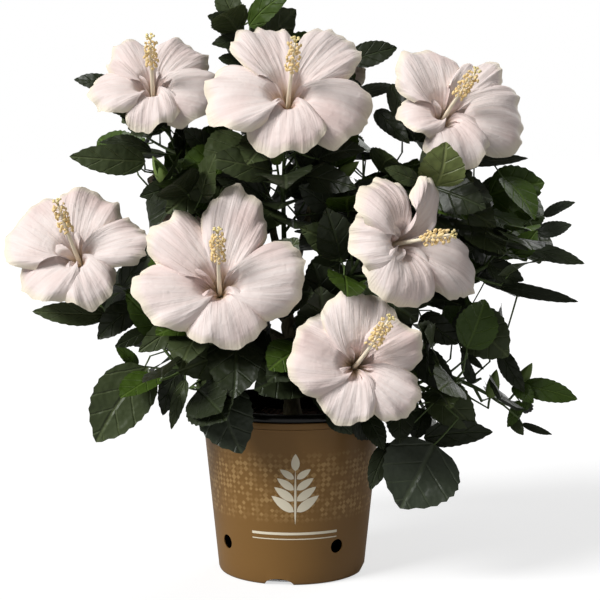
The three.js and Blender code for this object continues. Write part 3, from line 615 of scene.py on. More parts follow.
def petal_skin():
    """Hibiscus petal: matt and silky, white with a soft pink blush in places, fine pink veins that
    fan out from the throat, a darker warm tan at the throat as painted shade in the funnel, and a cream
    edge."""
    material, tree, shader = blank("hibiscus petal", "#eadfdc", 0.62, IOR=1.4)
    place = node(tree, "ShaderNodeUVMap", uv_map="surface")
    outward = node(tree, "ShaderNodeSeparateXYZ", {"Vector": place}).outputs["Y"]
    there = node(tree, "ShaderNodeTexCoord").outputs["Object"]
    stretched = node(tree, "ShaderNodeMapping", {"Vector": place, "Scale": (16.0, 1.4, 1.0)})
    grain = node(tree, "ShaderNodeTexNoise", {"Vector": stretched, "Scale": 1.0, "Detail": 3.0,
                                              "Distortion": 0.4})
    clouds = node(tree, "ShaderNodeTexNoise", {"Vector": there, "Scale": 17.0, "Detail": 1.0})
    crepe = node(tree, "ShaderNodeTexNoise", {"Vector": there, "Scale": 130.0, "Detail": 2.0,
                                              "Distortion": 0.6})
    veins = node(tree, "ShaderNodeMapRange", {"Value": grain, "From Min": 0.40, "From Max": 0.75})
    blush = node(tree, "ShaderNodeMapRange", {"Value": clouds, "From Min": 0.46, "From Max": 0.7,
                                              "To Max": 0.6})
    edge = node(tree, "ShaderNodeMapRange", {"Value": outward, "From Min": 0.86, "From Max": 1.0})
    # deep: a darker warm tan towards the throat, painted shade where the funnel closes in
    deep = node(tree, "ShaderNodeMapRange", {"Value": outward, "From Min": 0.16, "From Max": 0.02})
    colour = blend(tree, veins, linear("#ede0db"), "#e6d4ce")
    for factor, tint in ((blush, "#dfc2bb"), (edge, "#f1e6d0"), (deep, "#d8c09a")):
        colour = blend(tree, factor, colour, tint)
    tree.links.new(colour, shader.inputs["Base Color"])
    height = node(tree, "ShaderNodeMath", {0: crepe, 1: 0.6, 2: grain}, operation="MULTIPLY_ADD")
    relief(tree, shader, height, 0.0012)
    return material


def column_flesh():
    """The flower's column: smooth, waxy, cream."""
    return blank("cream column flesh", "#f2e6cc", 0.45)[0]


def pollen():
    """Ripe anthers: dusty golden yellow, no gloss."""
    return blank("hibiscus pollen", "#f3d79c", 0.9)[0]


def stigma_velvet():
    """Stigma pads: pale yellow velvet."""
    return blank("stigma velvet", "#f0dfa0", 0.8)[0]


def calyx_green():
    """Calyx, bracts and bud scales: fresh green, thin, satin."""
    return blank("calyx green", "#6f8440", 0.55)[0]


def plain_floor():
    """Opal acrylic light table: even white to the camera, so that shadows on it stay faint."""
    material, tree, shader = blank("opal acrylic", "#a8a8a8", 0.9, Emission_Color=(1, 1, 1, 1))
    ray = node(tree, "ShaderNodeLightPath").outputs["Is Camera Ray"]
    glow = node(tree, "ShaderNodeMath", {0: ray, 1: 0.66}, operation="MULTIPLY")
    tree.links.new(glow.outputs[0], shader.inputs["Emission Strength"])
    return material


BLACK = black_plastic()
BARK = grey_bark()
SHOOT = green_shoot()
TONES = {
    "dark": leaf_skin("deep green leaf", "#262d1a", "#323b23", 0.44),
    "mid": leaf_skin("green leaf", "#3e482a", "#4f5936", 0.44),
    "fresh": leaf_skin("young green leaf", "#384d12", "#4d6324", 0.46),
    # grey: a paler grey-green tone that stands in for a painted sheen of gloss on the leaf
    "grey": leaf_skin("grey leaf with painted sheen", "#353c2e", "#454d3a", 0.42),
    "pale": leaf_skin("turned leaf", "#626c3b", "#727a4a", 0.5),
}


# ---------------------------------------------------------------- pot
def wall_radius(height):
    return POT["base_radius"] + POT["spread"] * height


def turned(name, profile, material):
    """A closed shell turned about the pot's axis; its map holds the run round it and its height."""
    sides = POT["sides"]
    angles = around(sides) - math.pi / 2
    points = np.array([[r * math.cos(a), r * math.sin(a), z] for r, z in profile for a in angles])
    faces = []
    for row in range(len(profile)):
        below = (row + 1) % len(profile)
        for k in range(sides):
            b = (k + 1) % sides
            faces.append([row * sides + k, row * sides + b, below * sides + b, below * sides + k])
    mesh = bpy.data.meshes.new(name)
    mesh.from_pydata((points * MM).tolist(), [], faces)
    layer = mesh.uv_layers.new(name="surface")
    for face in mesh.polygons:
        for slot, loop in enumerate(face.loop_indices):
            turn = face.index % sides + (1 if slot in (1, 2) else 0)
            height = points[mesh.loops[loop].vertex_index][2]
            layer.data[loop].uv = (turn / sides * 2 * math.pi * POT["print_radius"], height)
    mesh.materials.append(material)
    return placed(name, mesh)


def cut_at(degrees, height, half_width, half_height, depth, sides):
    """An oval prism that cuts through the wall at a turn from the front and a height."""
    angle = math.radians(degrees) - math.pi / 2
    outward = vec([math.cos(angle), math.sin(angle), 0])
    along = vec([-math.sin(angle), math.cos(angle), 0])
    centre = outward * wall_radius(height) + UP * height
    ring = centre + np.array([fan(turn, along * half_width, UP * half_height) for turn in around(sides)])
    return np.concatenate([ring - outward * depth, ring + outward * depth]), capped_faces(2, sides)


def pot_cuts():
    """All drain holes and foot arches as one mesh."""
    cuts = Pile()
    radius = POT["hole_radius"]
    for i in range(POT["holes"]):
        turn = POT["hole_turn"] + 360 * i / POT["holes"]
        cuts.add(*cut_at(turn, POT["hole_height"], radius, radius, POT["hole_depth"], sides=40))
    half_notch = POT["notch_width"] / 2
    for i in range(POT["notches"]):
        turn = POT["notch_turn"] + 360 * i / POT["notches"]
        cuts.add(*cut_at(turn, 0, half_notch, POT["notch_height"], POT["notch_depth"], sides=48))
    return cuts.made("cuts", BLACK, smooth=False)


def cut_by(obj, cuts):
    """Takes the cuts out of the object and keeps its corners crisp."""
    modifier = obj.modifiers.new("cuts", "BOOLEAN")
    modifier.operation = "DIFFERENCE"
    modifier.solver = "EXACT"
    modifier.object = cuts
    make_real(obj, modifier)
    obj.data.polygons.foreach_set("use_smooth", [True] * len(obj.data.polygons))
    obj.data.set_sharp_from_angle(angle=math.radians(32))


def arc(centre_r, centre_z, radius, start, end, count):
    """Points of an arc in the pot's section, in degrees from outward."""
    angles = [math.radians(mix(start, end, i / (count - 1))) for i in range(count)]
    return [[centre_r + radius * math.cos(a), centre_z + radius * math.sin(a)] for a in angles]


def build_pot():
    """The gold wall with its rolled band, and the black lining with its rounded lip."""
    skin = POT["skin"]
    step = POT["step_height"]
    top = POT["band_height"]
    bead = POT["bead"]
    shoulder = 1.5
    edge_round = 0.9
    lip_round = 2.2
    low = 10
    hub = 0.5
    floor_edge = 60
    underside = skin + 0.7
    foot = POT["base_radius"] - POT["foot_round"]
    band = wall_radius(step) + POT["band_out"]
    rim = wall_radius(top) + POT["band_out"]
    gap = 0.05
    shell = turned("pot_wall", [
        [hub, 0.0], [foot, 0.0],
        *arc(foot, POT["foot_round"], POT["foot_round"], -90, 0, 8)[1:-1],
        *[[wall_radius(z), z] for z in np.linspace(4, step - 2.5, 12)],
        *arc(wall_radius(step) + shoulder, step - shoulder, shoulder, 180, 90, 4),
        *arc(band - edge_round, step + edge_round, edge_round, -80, 0, 4),
        *arc(rim - edge_round, top - edge_round, edge_round, 0, 90, 5),
        [rim - 3.0, top - 0.2], [wall_radius(step) - skin, step - 1],
        [wall_radius(low) - skin, low], [floor_edge, underside], [hub, underside],
    ], gold_printed_plastic())
    lining = turned("pot_lining", [
        [hub, underside + gap], [floor_edge, underside + gap], [wall_radius(low) - skin - gap, low],
        [wall_radius(step) - skin - gap, step - 1], [rim - 2.6, top + gap],
        *arc(rim - bead + 0.6, top + bead, bead, -75, 75, 12),
        *arc(rim - bead - 1.5, POT["height"] - lip_round, lip_round, 70, 150, 5),
        *[[wall_radius(z) - POT["wall"], z] for z in (step, 110, 60, low)],
        [floor_edge, POT["floor"]], [hub, POT["floor"]],
    ], BLACK)
    cuts = pot_cuts()
    for piece in (shell, lining):
        cut_by(piece, cuts)
    bpy.data.objects.remove(cuts)
    return [shell, lining]


def on_pot(across, height, out=0.12):
    """A point on the pot's front, from the run round it and the height up it."""
    radius = wall_radius(height) + out
    angle = across / wall_radius(100) - math.pi / 2
    return [radius * math.cos(angle), radius * math.sin(angle), height]


def printed_patch(pile, middle, tip_way, length, width):
    """One leaf-shaped patch of ink that lies on the wall."""
    rows = 10
    points = []
    way = np.array([math.sin(tip_way), math.cos(tip_way)])
    side = np.array([way[1], -way[0]])
    for i in range(rows):
        t = i / (rows - 1)
        half = width / 2 * math.sin(math.pi * t ** 0.8) ** 0.8 + 0.001
        for s in (-1, 0, 1):
            points.append(on_pot(*(np.array(middle) + way * length * t + side * half * s)))
    pile.add(np.array(points), [face[::-1] for face in grid_faces(rows, 3)])


def build_print():
    """A plain upright sprig of leaves over two pinstripes."""
    ink = Pile()
    across = SPRIG["across"]
    foot = SPRIG["foot"]
    for i in range(SPRIG["pairs"]):
        height = foot + 9 + SPRIG["spacing"] * i
        length = SPRIG["length"] - 3.6 * i
        width = SPRIG["width"] - 0.9 * i
        for side in (-1, 1):
            printed_patch(ink, [across + side * 1.4, height], side * SPRIG["lean"], length, width)
    printed_patch(ink, [across, foot + 50], tip_way=0, length=17, width=8)
    printed_patch(ink, [across, foot - 4], tip_way=0, length=56, width=2.2)
    columns = 60
    for height, thick in STRIPES["heights_and_widths"]:
        run = np.linspace(STRIPES["from"], STRIPES["to"], columns)
        points = [on_pot(spot, z) for z in (height, height + thick) for spot in run]
        ink.add(np.array(points), grid_faces(2, columns))
    return ink.made("pot_print", cream_ink())


# ---------------------------------------------------------------- soil
def build_soil():
    """A crumbly round of mix that fits the pot, lumpy on top."""
    soil = Pile()
    rings = SOIL["rings"]
    sides = SOIL["sides"]
    clearance = POT["wall"] + 0.6
    edge = wall_radius(SOIL["top"]) - clearance
    foot = wall_radius(SOIL["foot"]) - clearance
    points = []
    for i in range(rings):
        radius = edge * (i / (rings - 1)) ** 0.8
        for angle in around(sides):
            x, y = radius * math.cos(angle), radius * math.sin(angle)
            lumps = 1.6 * noise.noise(Vector((x * 0.06, y * 0.06, 0)))
            crumbs = 0.8 * noise.noise(Vector((x * 0.3, y * 0.3, 5)))
            points.append([x, y, SOIL["top"] - 2.2 + lumps + crumbs])
    points.extend([foot * math.cos(angle), foot * math.sin(angle), SOIL["foot"]] for angle in around(sides))
    soil.add(np.array(points), [face[::-1] for face in capped_faces(rings + 1, sides)])
    return soil.made("soil_bed", potting_mix())


def scatter_tree(name):
    """Geometry Nodes: rounded pods on the points of a mesh, each turned to its own 'outward'
    direction and tilted at random, with named inputs for size, spread, tilt, seed and shape."""
    tree = bpy.data.node_groups.new(name, "GeometryNodeTree")
    kinds = {"Points": "Geometry", "Size": "Float", "Spread": "Float", "Tilt": "Float", "Seed": "Int",
             "Shape": "Vector", "Finish": "Material"}
    for label, kind in kinds.items():
        tree.interface.new_socket(label, in_out="INPUT", socket_type=f"NodeSocket{kind}")
    tree.interface.new_socket("Geometry", in_out="OUTPUT", socket_type="NodeSocketGeometry")
    given = node(tree, "NodeGroupInput").outputs
    outward = node(tree, "GeometryNodeInputNamedAttribute", {"Name": "outward"}, data_type="FLOAT_VECTOR")
    facing = node(tree, "FunctionNodeAlignRotationToVector", {"Vector": outward.outputs["Attribute"]},
                  axis="Z")
    least = node(tree, "ShaderNodeMath", {0: given["Tilt"], 1: -1.0}, operation="MULTIPLY")
    tilt = node(tree, "FunctionNodeRandomValue", {"Min": least, "Max": given["Tilt"],
                                                  "Seed": given["Seed"]}, data_type="FLOAT_VECTOR")
    turned_by = node(tree, "FunctionNodeRotateRotation", {
        "Rotation": facing, "Rotate By": tilt.outputs["Value"]}, rotation_space="LOCAL")
    smallest = node(tree, "ShaderNodeMath", {0: 1.0, 1: given["Spread"]}, operation="SUBTRACT")
    largest = node(tree, "ShaderNodeMath", {0: 1.0, 1: given["Spread"]}, operation="ADD")
    scale = node(tree, "FunctionNodeRandomValue", {"Min": smallest, "Max": largest,
                                                   "Seed": given["Seed"]}, data_type="FLOAT")
    pod = node(tree, "GeometryNodeMeshIcoSphere", {"Radius": given["Size"], "Subdivisions": 2})
    shaped = node(tree, "GeometryNodeTransform", {"Geometry": pod, "Scale": given["Shape"]})
    copies = node(tree, "GeometryNodeInstanceOnPoints", {
        "Points": given["Points"], "Instance": shaped, "Rotation": turned_by,
        "Scale": scale.outputs["Value"]})
    real = node(tree, "GeometryNodeRealizeInstances", {"Geometry": copies})
    finish = node(tree, "GeometryNodeSetMaterial", {"Geometry": real, "Material": given["Finish"]})
    node(tree, "NodeGroupOutput", {"Geometry": finish})
    return tree


SCATTER = scatter_tree("pods on points")


def scattered(name, points, outward, material, **inputs):
    """An object with one pod on each point, made real."""
    mesh = bpy.data.meshes.new(name)
    mesh.from_pydata((np.array(points) * MM).tolist(), [], [])
    layer = mesh.attributes.new("outward", "FLOAT_VECTOR", "POINT")
    layer.data.foreach_set("vector", np.array(outward, dtype=np.float32).ravel())
    obj = placed(name, mesh)
    modifier = obj.modifiers.new("pods", "NODES")
    modifier.node_group = SCATTER
    values = {**inputs, "Finish": material}
    for item in SCATTER.interface.items_tree:
        if item.item_type == "SOCKET" and item.name in values:
            modifier[item.identifier] = values[item.name]
    bpy.context.view_layer.update()
    make_real(obj, modifier)
    return obj


def build_chips():
    """Bark chips that lie on the mix."""
    draw = random.Random(5)
    points = []
    outward = []
    edge = wall_radius(SOIL["top"]) - 10
    for _ in range(SOIL["chips"]):
        radius = edge * math.sqrt(draw.random())
        angle = draw.random() * 2 * math.pi
        height = SOIL["top"] - 1.4 + 1.2 * draw.random()
        points.append([radius * math.cos(angle), radius * math.sin(angle), height])
        outward.append([draw.uniform(-0.5, 0.5), draw.uniform(-0.5, 0.5), 1])
    return scattered("bark_chips", points, outward, bark_chip(), Size=0.0042, Spread=0.5, Tilt=0.6, Seed=3,
                     Shape=(1.0, 0.55, 0.24))


# ---------------------------------------------------------------- stem and boughs
TRUNK_FOOT = vec(TRUNK["foot"])
TRUNK_TOP = vec(TRUNK["top"])


def bough_points(mass):
    share = (mass["leave"] - TRUNK_FOOT[2]) / (TRUNK_TOP[2] - TRUNK_FOOT[2])
    foot = mix(TRUNK_FOOT, TRUNK_TOP, share)
    tip = vec(mass["foot"])
    bend = mix(foot, tip, 0.45) + UP * mass["bow"]
    return bowed(foot, bend, tip, count=22)


def build_wood():
    """The stem with its flared foot and the boughs, with wrinkled bark."""
    wood = Pile()
    shares = np.linspace(0, 1, 40)
    line = np.array([mix(TRUNK_FOOT, TRUNK_TOP, t) for t in shares])
    radii = [mix(TRUNK["base"], TRUNK["tip"], t) + (TRUNK["flare"] - TRUNK["base"]) * math.exp(-t * 22)
             + 0.5 * math.sin(31 * t) ** 8 for t in shares]
    wood.add(*tube(line, radii, sides=18, rough=0.22))
    for mass in MASSES:
        if mass["leave"]:
            points = bough_points(mass)
            radii = np.linspace(BOUGH["base"], BOUGH["tip"], len(points))
            wood.add(*tube(points, radii, sides=12, rough=0.16))
    return wood.made("stem_and_boughs", BARK)


# ---------------------------------------------------------------- leaves
def leaf_outline():
    """The blade in its own plane: for each row its share of the length, its half width, and
    how far its edge runs ahead, so that the margin has small forward-pointing teeth."""
    rows = []
    count = LEAF["rows"]
    for i in range(count + 1):
        t = i / count
        half = math.sin(math.pi * t ** 0.72) ** 0.62 if 0 < t < 1 else 0.0
        half *= 1 - 2.2 * max(0, t - 0.8)
        half = max(half, 0.04 * (1 - t))
        toothed = i % 2 == 1 and 0.16 < t < 0.98
        rows.append((t, half * (1.03 if toothed else 0.98), 0.014 if toothed else 0.0))
    return rows


OUTLINE = leaf_outline()
ACROSS = (-1.0, -0.5, 0.0, 0.5, 1.0)
LEAF_FACES = grid_faces(len(OUTLINE), len(ACROSS))


def blade(start, tip, face, width, draw):
    """The points of one arched, folded and slightly wavy leaf blade and its map."""
    fold = draw.uniform(0.02, 0.22)
    droop = draw.uniform(0.02, 0.11)
    wave = draw.uniform(0.01, 0.05)
    phase = draw.uniform(0, 6)
    bend = draw.uniform(-0.05, 0.05)
    along = tip - start
    length = np.linalg.norm(along)
    along = along / length
    normal = unit(face - along * face.dot(along))
    side = np.cross(along, normal)
    points = []
    places = []
    for t, half, ahead in OUTLINE:
        arch = droop * length * 4 * t * (1 - t)
        sway = bend * length * math.sin(math.pi * t)
        for s in ACROSS:
            run = t + ahead * abs(s)
            out = s * half * width / 2
            ripple = math.sin(9 * t + phase + (1.5 if s > 0 else 0))
            lift = fold * abs(out) + wave * abs(s) * half * width * ripple
            points.append(start + along * run * length + side * (out + sway) + normal * (arch + lift))
            places.append([s * half, t])
    return np.array(points), np.array(places)


def leaf_face(front):
    """The way a blade looks that is turned from up (0) to the front (1)."""
    return unit(UP * (1 - front) + vec([0, -1, 0]) * front)


# ---------------------------------------------------------------- flowers
PETAL_ROWS = 30
PETAL_COLUMNS = 41
# Waves of a petal's edge as its height and its turns across, and waves of its face as its
# height, its turns across and outwards, and how late it grows outwards.
SCALLOPS = ((0.035, 5), (0.02, 13), (0.012, 29))
RUFFLES = ((4.0, 3.6, 0, 2), (3.4, 8.5, 2.5, 3.4), (2.2, 17, -3, 6), (0.5, 27, 4, 1))


def bloom_frame(flower):
    """Where a flower faces, and two directions square to that."""
    axis = unit(vec(flower["face"]))
    return (axis, *square_to(axis))


def petal_aim(flower, number):
    """The direction of a petal in its flower's own plane, and its reach there."""
    axis, side, other = bloom_frame(flower)
    across, up, _, lift, _ = flower["petals"][number]
    depth = (lift - across * axis[0] - up * axis[2]) / axis[1]
    offset = vec([across, depth, up]) - axis * lift
    return math.atan2(offset.dot(other), offset.dot(side)), np.linalg.norm(offset)


def petal_spreads(flower, number):
    """How far a petal spreads to each side: past the middle of the gap to its neighbour."""
    own = petal_aim(flower, number)[0]
    turns = [(petal_aim(flower, k)[0] - own) % (2 * math.pi) for k in range(5) if k != number]
    overlap = math.radians(flower["petals"][number][2])
    return (2 * math.pi - max(turns)) / 2 + overlap, min(turns) / 2 + overlap


def petal_points(flower, number):
    """One petal: narrow in the funnel, then a broad ruffled fan that lies over the next one."""
    centre = vec(flower["throat"])
    axis, side, other = bloom_frame(flower)
    lift, drawn = flower["petals"][number][3:]
    middle, reach = petal_aim(flower, number)
    before, after = petal_spreads(flower, number)
    draw = random.Random(flower["radius"] * 31 + number * 7 + int(flower["throat"][0]))
    phases = [draw.uniform(0, 6.28) for _ in range(8)]
    crease = draw.uniform(-0.5, 0.5)
    curls = [draw.uniform(-0.2, 0.02), draw.uniform(-0.2, 0.02)]
    slant = draw.uniform(-0.09, 0.09)
    points = []
    places = []
    for i in range(PETAL_ROWS):
        v = i / (PETAL_ROWS - 1)
        funnel = -FUNNEL * max(0.0, 1 - v / 0.28) ** 1.6
        bow = flower["bow"] * reach * math.sin(math.pi * v ** 1.15)
        for j in range(PETAL_COLUMNS):
            u = 2 * j / (PETAL_COLUMNS - 1) - 1
            scallop = slant * u + sum(high * math.sin(turns * u + phase)
                                      for (high, turns), phase in zip(SCALLOPS, phases))
            point = drawn * math.exp(-((u - crease * 0.4) / 0.2) ** 2)
            edge = reach * (1.0 - 0.54 * abs(u) ** 2.8 + (scallop + point) * v ** 3)
            radius = edge * (0.035 + 0.965 * v ** 0.9)
            ruffle = sum(high * math.sin(turns * u + rise * v + phase) * v ** late
                         for (high, turns, rise, late), phase in zip(RUFFLES, phases[3:]))
            over = u * (1.0 + 3.6 * v ** 1.5)
            groove = -2.2 * math.exp(-((u - crease) / 0.13) ** 2) * v ** 1.2
            curl = curls[j * 2 > PETAL_COLUMNS] * abs(u) ** 4
            roll = reach * v * (curl - 0.9 * max(0.0, v - 0.84) ** 1.5)
            height = funnel + bow + lift * v ** 1.6 + over + ruffle + groove + roll
            angle = middle + u * (after if u > 0 else before)
            points.append(centre + radius * fan(angle, side, other) + axis * height)
            places.append([u * (0.35 + 0.65 * v) + 3 * number, v])
    return np.array(points), np.array(places)


def column_line(flower):
    """The column's middle line, from the foot of the funnel to where the stigmas part."""
    axis = bloom_frame(flower)[0]
    start = vec(flower["throat"]) - axis * (FUNNEL + 1)
    end = start + axis * FUNNEL * 0.6 + unit(vec(flower["column"])) * COLUMN["length"] * 0.98
    return Line(bowed(start, start + axis * COLUMN["length"] * 0.55, end, count=18))


def add_column(columns, path, draw):
    """The column and its filaments; returns each anther's place and the way it faces."""
    radii = np.linspace(COLUMN["foot"], COLUMN["tip"], len(path.points))
    columns.add(*tube(path.points, radii, sides=10))
    anthers = []
    for i in range(COLUMN["anthers"]):
        t = mix(COLUMN["bare"], COLUMN["end"], i / (COLUMN["anthers"] - 1))
        tangent = path.way(t)
        out = fan(GOLDEN_ANGLE * i + draw.uniform(-0.3, 0.3), *square_to(tangent))
        spread = draw.uniform(3.8, 6.8)
        root = path.at(t)
        head = root + out * spread + tangent * draw.uniform(0, 1.6)
        columns.add(*tube(np.array([root, head]), radii=[0.28, 0.22], sides=4))
        anthers.append((head, out))
    return anthers


def add_stigmas(stigmas, path, turn):
    """Five short arms at the column's end, each with a round pad."""
    end = path.points[-1]
    tangent = path.way(1)
    pad = [[0, 0], [1.3, 0.2], [1.6, 0.9], [1.2, 1.6], [0, 1.8]]
    for angle in around(5):
        out = fan(angle + turn, *square_to(tangent))
        head = end + tangent * 4.2 + out * 3.4
        arm = np.array([end - tangent * 1.5, end + tangent * 2.4 + out * 1.6, head])
        stigmas.add(*tube(arm, radii=[0.5, 0.45, 0.45], sides=5))
        stigmas.add(*spun(head - tangent * 0.8, tangent, pad, sides=8))


def add_calyx(greens, flower):
    """The green cup round a flower's tube, its five lobes, and seven narrow bracts below them."""
    axis = bloom_frame(flower)[0]
    foot = vec(flower["throat"]) - axis * TUBE
    cup = [[0, 0], [3.0, 0.5], [6.2, 6], [7.2, 13], [6.6, 19], [5.6, 23], [0, 23.2]]
    greens.add(*spun(foot, axis, cup, sides=20))
    for angle in around(5):
        add_scale(greens, foot + axis * 17, axis, angle, radius=6.4, length=15, width=6.5, flare=0.42)
    for angle in around(7):
        add_scale(greens, foot + axis * 3, axis, angle + 0.3, radius=3.4, length=14, width=1.8, flare=0.75)


def build_blooms(greens):
    """Petals, columns, stigmas and anthers of every open flower; calyxes go to the greens."""
    petals = Pile()
    columns = Pile()
    stigmas = Pile()
    anthers = []
    for index, flower in enumerate(BLOOMS):
        for number in range(5):
            points, places = petal_points(flower, number)
            petals.add(points, grid_faces(PETAL_ROWS, PETAL_COLUMNS), places)
        path = column_line(flower)
        anthers.extend(add_column(columns, path, random.Random(100 + index)))
        add_stigmas(stigmas, path, index)
        add_calyx(greens, flower)
    pods = scattered("anthers", *zip(*anthers), pollen(), Size=0.0016, Spread=0.25, Tilt=0.7, Seed=8,
                     Shape=(1.25, 0.8, 0.75))
    return [petals.made("petals", petal_skin()), columns.made("columns", column_flesh()),
            stigmas.made("stigmas", stigma_velvet()), pods]


def add_scale(pile, foot, axis, angle, radius, length, width, flare):
    """One pointed green scale that stands up round a flower's tube or a bud."""
    out = fan(angle, *square_to(axis))
    across = np.cross(axis, out)
    points = []
    rows = 6
    for i in range(rows):
        t = i / (rows - 1)
        half = width / 2 * (1 - t) ** 0.7 * (1 + 0.4 * t)
        middle = foot + out * (radius + flare * length * t ** 1.5) + axis * length * t
        for s in (-1, 0, 1):
            points.append(middle + across * half * s - out * 0.25 * abs(s) * half)
    pile.add(np.array(points), grid_faces(rows, 3))


def add_bud(pile, bud):
    """A pointed bud with twisted folds, and its calyx scales."""
    way = unit(vec(bud["along"]))
    foot = vec(bud["at"]) - way * BUD_LENGTH / 2
    side, other = square_to(way)
    rows, sides = 14, 15
    points = []
    for i in range(rows):
        t = i / (rows - 1)
        radius = BUD_RADIUS * math.sin(math.pi * (0.08 + 0.92 * t) ** 0.75) ** 0.8 if t < 1 else 0.05
        for angle in around(sides):
            folded = radius * (1 + 0.08 * math.sin(5 * angle + 3.4 * t))
            points.append(foot + way * BUD_LENGTH * t + fan(angle, side, other) * folded)
    pile.add(np.array(points), capped_faces(rows, sides))
    for angle in around(6):
        add_scale(pile, foot + way * 2, way, angle, radius=2.6, length=13, width=2.0, flare=0.6)


# ---------------------------------------------------------------- growing the foliage
def kept_views():
    """What leaves may not hide: each flower's throat, a way that it is seen from, and a radius."""
    views = []
    for flower in BLOOMS:
        face = unit(vec(flower["face"]))
        level = unit(vec([face[0], face[1], 0]))
        views.extend((vec(flower["throat"]), way, 0.94 * flower["radius"]) for way in (face, level))
    return views


KEPT_VIEWS = kept_views()
# Leaves stay out of a round space at each open flower, from behind its throat to before it.
CLEAR_BEHIND = 8
CLEAR_BEFORE = 190


def hides_bloom(point):
    """Whether a point would stand between an open flower and the side that it faces."""
    for throat, way, radius in KEPT_VIEWS:
        apart = point - throat
        ahead = apart.dot(way)
        if -CLEAR_BEHIND < ahead < CLEAR_BEFORE and np.linalg.norm(apart - way * ahead) < radius:
            return True
    return False


class Foliage:
    """Twigs, leaf stalks and leaves, each kept clear of what is already there."""

    CELL = 40

    def __init__(self, solids):
        self.solids = solids
        self.twigs = Pile()
        self.stalks = Pile()
        self.tones = {tone: Pile() for tone in TONES}
        self.near = {}

    def cells(self, points):
        low = (points.min(axis=0) // self.CELL).astype(int)
        high = (points.max(axis=0) // self.CELL).astype(int)
        return [(x, y, z) for x in range(low[0], high[0] + 1) for y in range(low[1], high[1] + 1)
                for z in range(low[2], high[2] + 1)]

    def clear(self, tree, cells, limit):
        """Whether a blade crosses no solid, and no more faces of other leaves than the limit."""
        if tree.overlap(self.solids):
            return False
        others = {id(other): other for cell in cells for other in self.near.get(cell, [])}
        return sum(len(tree.overlap(other)) for other in others.values()) <= limit

    def draw_limb(self, limb):
        """Adds a limb's tube as far as the last thing that it bears."""
        shares = np.linspace(0, min(1, limb.used + 0.02), max(3, round(limb.line.length / 6)))
        points = np.array([limb.line.at(t) for t in shares])
        self.twigs.add(*tube(points, mix(limb.foot, limb.tip, shares), limb.sides))

    def leaf(self, root, start, tip, face, width, tone, draw, limit=None):
        """Adds one leaf with its stalk; with a limit, only if there is room for it."""
        points, places = blade(start, tip, face, width, draw)
        tree = BVHTree.FromPolygons(points.tolist(), LEAF_FACES)
        cells = self.cells(points)
        if limit is not None:
            if np.any(points < OUTSIDE["low"]) or np.any(points > OUTSIDE["high"]):
                return False
            if not leaves_sky(points) or not self.clear(tree, cells, limit):
                return False
        for cell in cells:
            self.near.setdefault(cell, []).append(tree)
        self.tones[tone].add(points, LEAF_FACES, places)
        middle = mix(root, start, 0.5) - UP * 0.06 * np.linalg.norm(start - root)
        stalk = bowed(root, middle, start + (tip - start) * 0.02, count=5)
        self.stalks.add(*tube(stalk, radii=np.linspace(1.0, 0.75, 5), sides=4))
        return True


def leaves_sky(points):
    """Whether a blade stays within the crown's edge and off the gaps through it."""
    columns = len(ACROSS)
    spots = seen(points)
    foot_edges_and_tip = [0, 6 * columns, 7 * columns - 1, 11 * columns, 12 * columns - 1, -1]
    if not inside(EDGE, spots[foot_edges_and_tip]):
        return False
    rows = spots.reshape(-1, columns, 2)
    dense = np.concatenate([spots, ((rows[:, 1:] + rows[:, :-1]) / 2).reshape(-1, 2)])
    gaps = np.array(SKY, dtype=float)
    apart = np.linalg.norm(dense[:, None, :] - gaps[None, :, :2], axis=2)
    return bool(np.all(apart > gaps[:, 2]))


def leaf_tone(draw, age):
    """Old inner leaves are dark, most are mid green, and the youngest at the tips are fresh."""
    pick = draw.random()
    if age < 0.22 and pick < 0.5:
        return "fresh"
    # The grey tone, dealt at random, is a painted sheen: a paler grey-green in place of gloss
    if pick < 0.08:
        return "grey"
    return "dark" if pick < 0.62 else "mid"


def grow_stem(mass):
    """The mass's own stem, after the part of its bough that also bears leaves."""
    foot = vec(mass["foot"])
    tip = vec(mass["tip"])
    bare = 10
    sunk = 4
    limbs = []
    entry = unit(TRUNK_TOP - TRUNK_FOOT)
    if mass["leave"]:
        bough = bough_points(mass)
        entry = unit(bough[-1] - bough[-2])
        limbs.append(Limb(Line(bough[bare:]), foot=0.6, tip=0.6))
    bend = foot + entry * 0.4 * np.linalg.norm(tip - foot)
    stem = Line(bowed(foot - entry * sunk, bend, tip, count=14))
    return [*limbs, Limb(stem, foot=2.8, tip=1.3, sides=8, used=0.9)]


def grow_limbs(mass, solids, draw):
    """The mass's stem, its side twigs by the golden angle, and a short shoot on each."""
    limbs = grow_stem(mass)
    stem = limbs[-1]
    margin = 22
    fork_share = 0.45
    for i in range(mass["twigs"]):
        t = mix(0.12, 0.96, (i + 0.5) / mass["twigs"])
        start = stem.line.at(t)
        angle = GOLDEN_ANGLE * (i + mass["seed"])
        outward = unit(vec([start[0], start[1], 0.001]))
        along = stem.line.way(t)
        way = unit(fan(angle, *square_to(along)) + 0.5 * outward + 0.45 * along + 0.25 * UP)
        length = mass["reach"] * draw.uniform(0.75, 1.12)
        end = start + way * length
        if hides_bloom(end) or not inside(EDGE, seen(end[None])):
            continue
        if np.any(end < OUTSIDE["low"] + margin) or np.any(end > OUTSIDE["high"] - margin):
            continue
        line = Line(bowed(start, mix(start, end, 0.5) - UP * 0.07 * length, end, count=8))
        points, faces, _ = tube(line.points[1:], radii=np.full(7, 1.4), sides=4)
        if BVHTree.FromPolygons(points.tolist(), faces).overlap(solids):
            continue
        twig = Limb(line, TWIG["foot"], TWIG["tip"], parent=stem, fork=t)
        limbs.append(twig)
        fork = line.at(fork_share)
        along = line.way(fork_share)
        branch = unit(fan(angle + 1.9, *square_to(along)) + 0.9 * along + 0.3 * outward)
        end = fork + branch * TWIG["shoot"] * draw.uniform(0.8, 1.2)
        if not hides_bloom(end) and inside(EDGE, seen(end[None])):
            shoot = Line(bowed(fork, mix(fork, end, 0.5), end, count=5))
            limbs.append(Limb(shoot, foot=1.1, tip=0.7, sides=5, parent=twig, fork=fork_share))
    return limbs


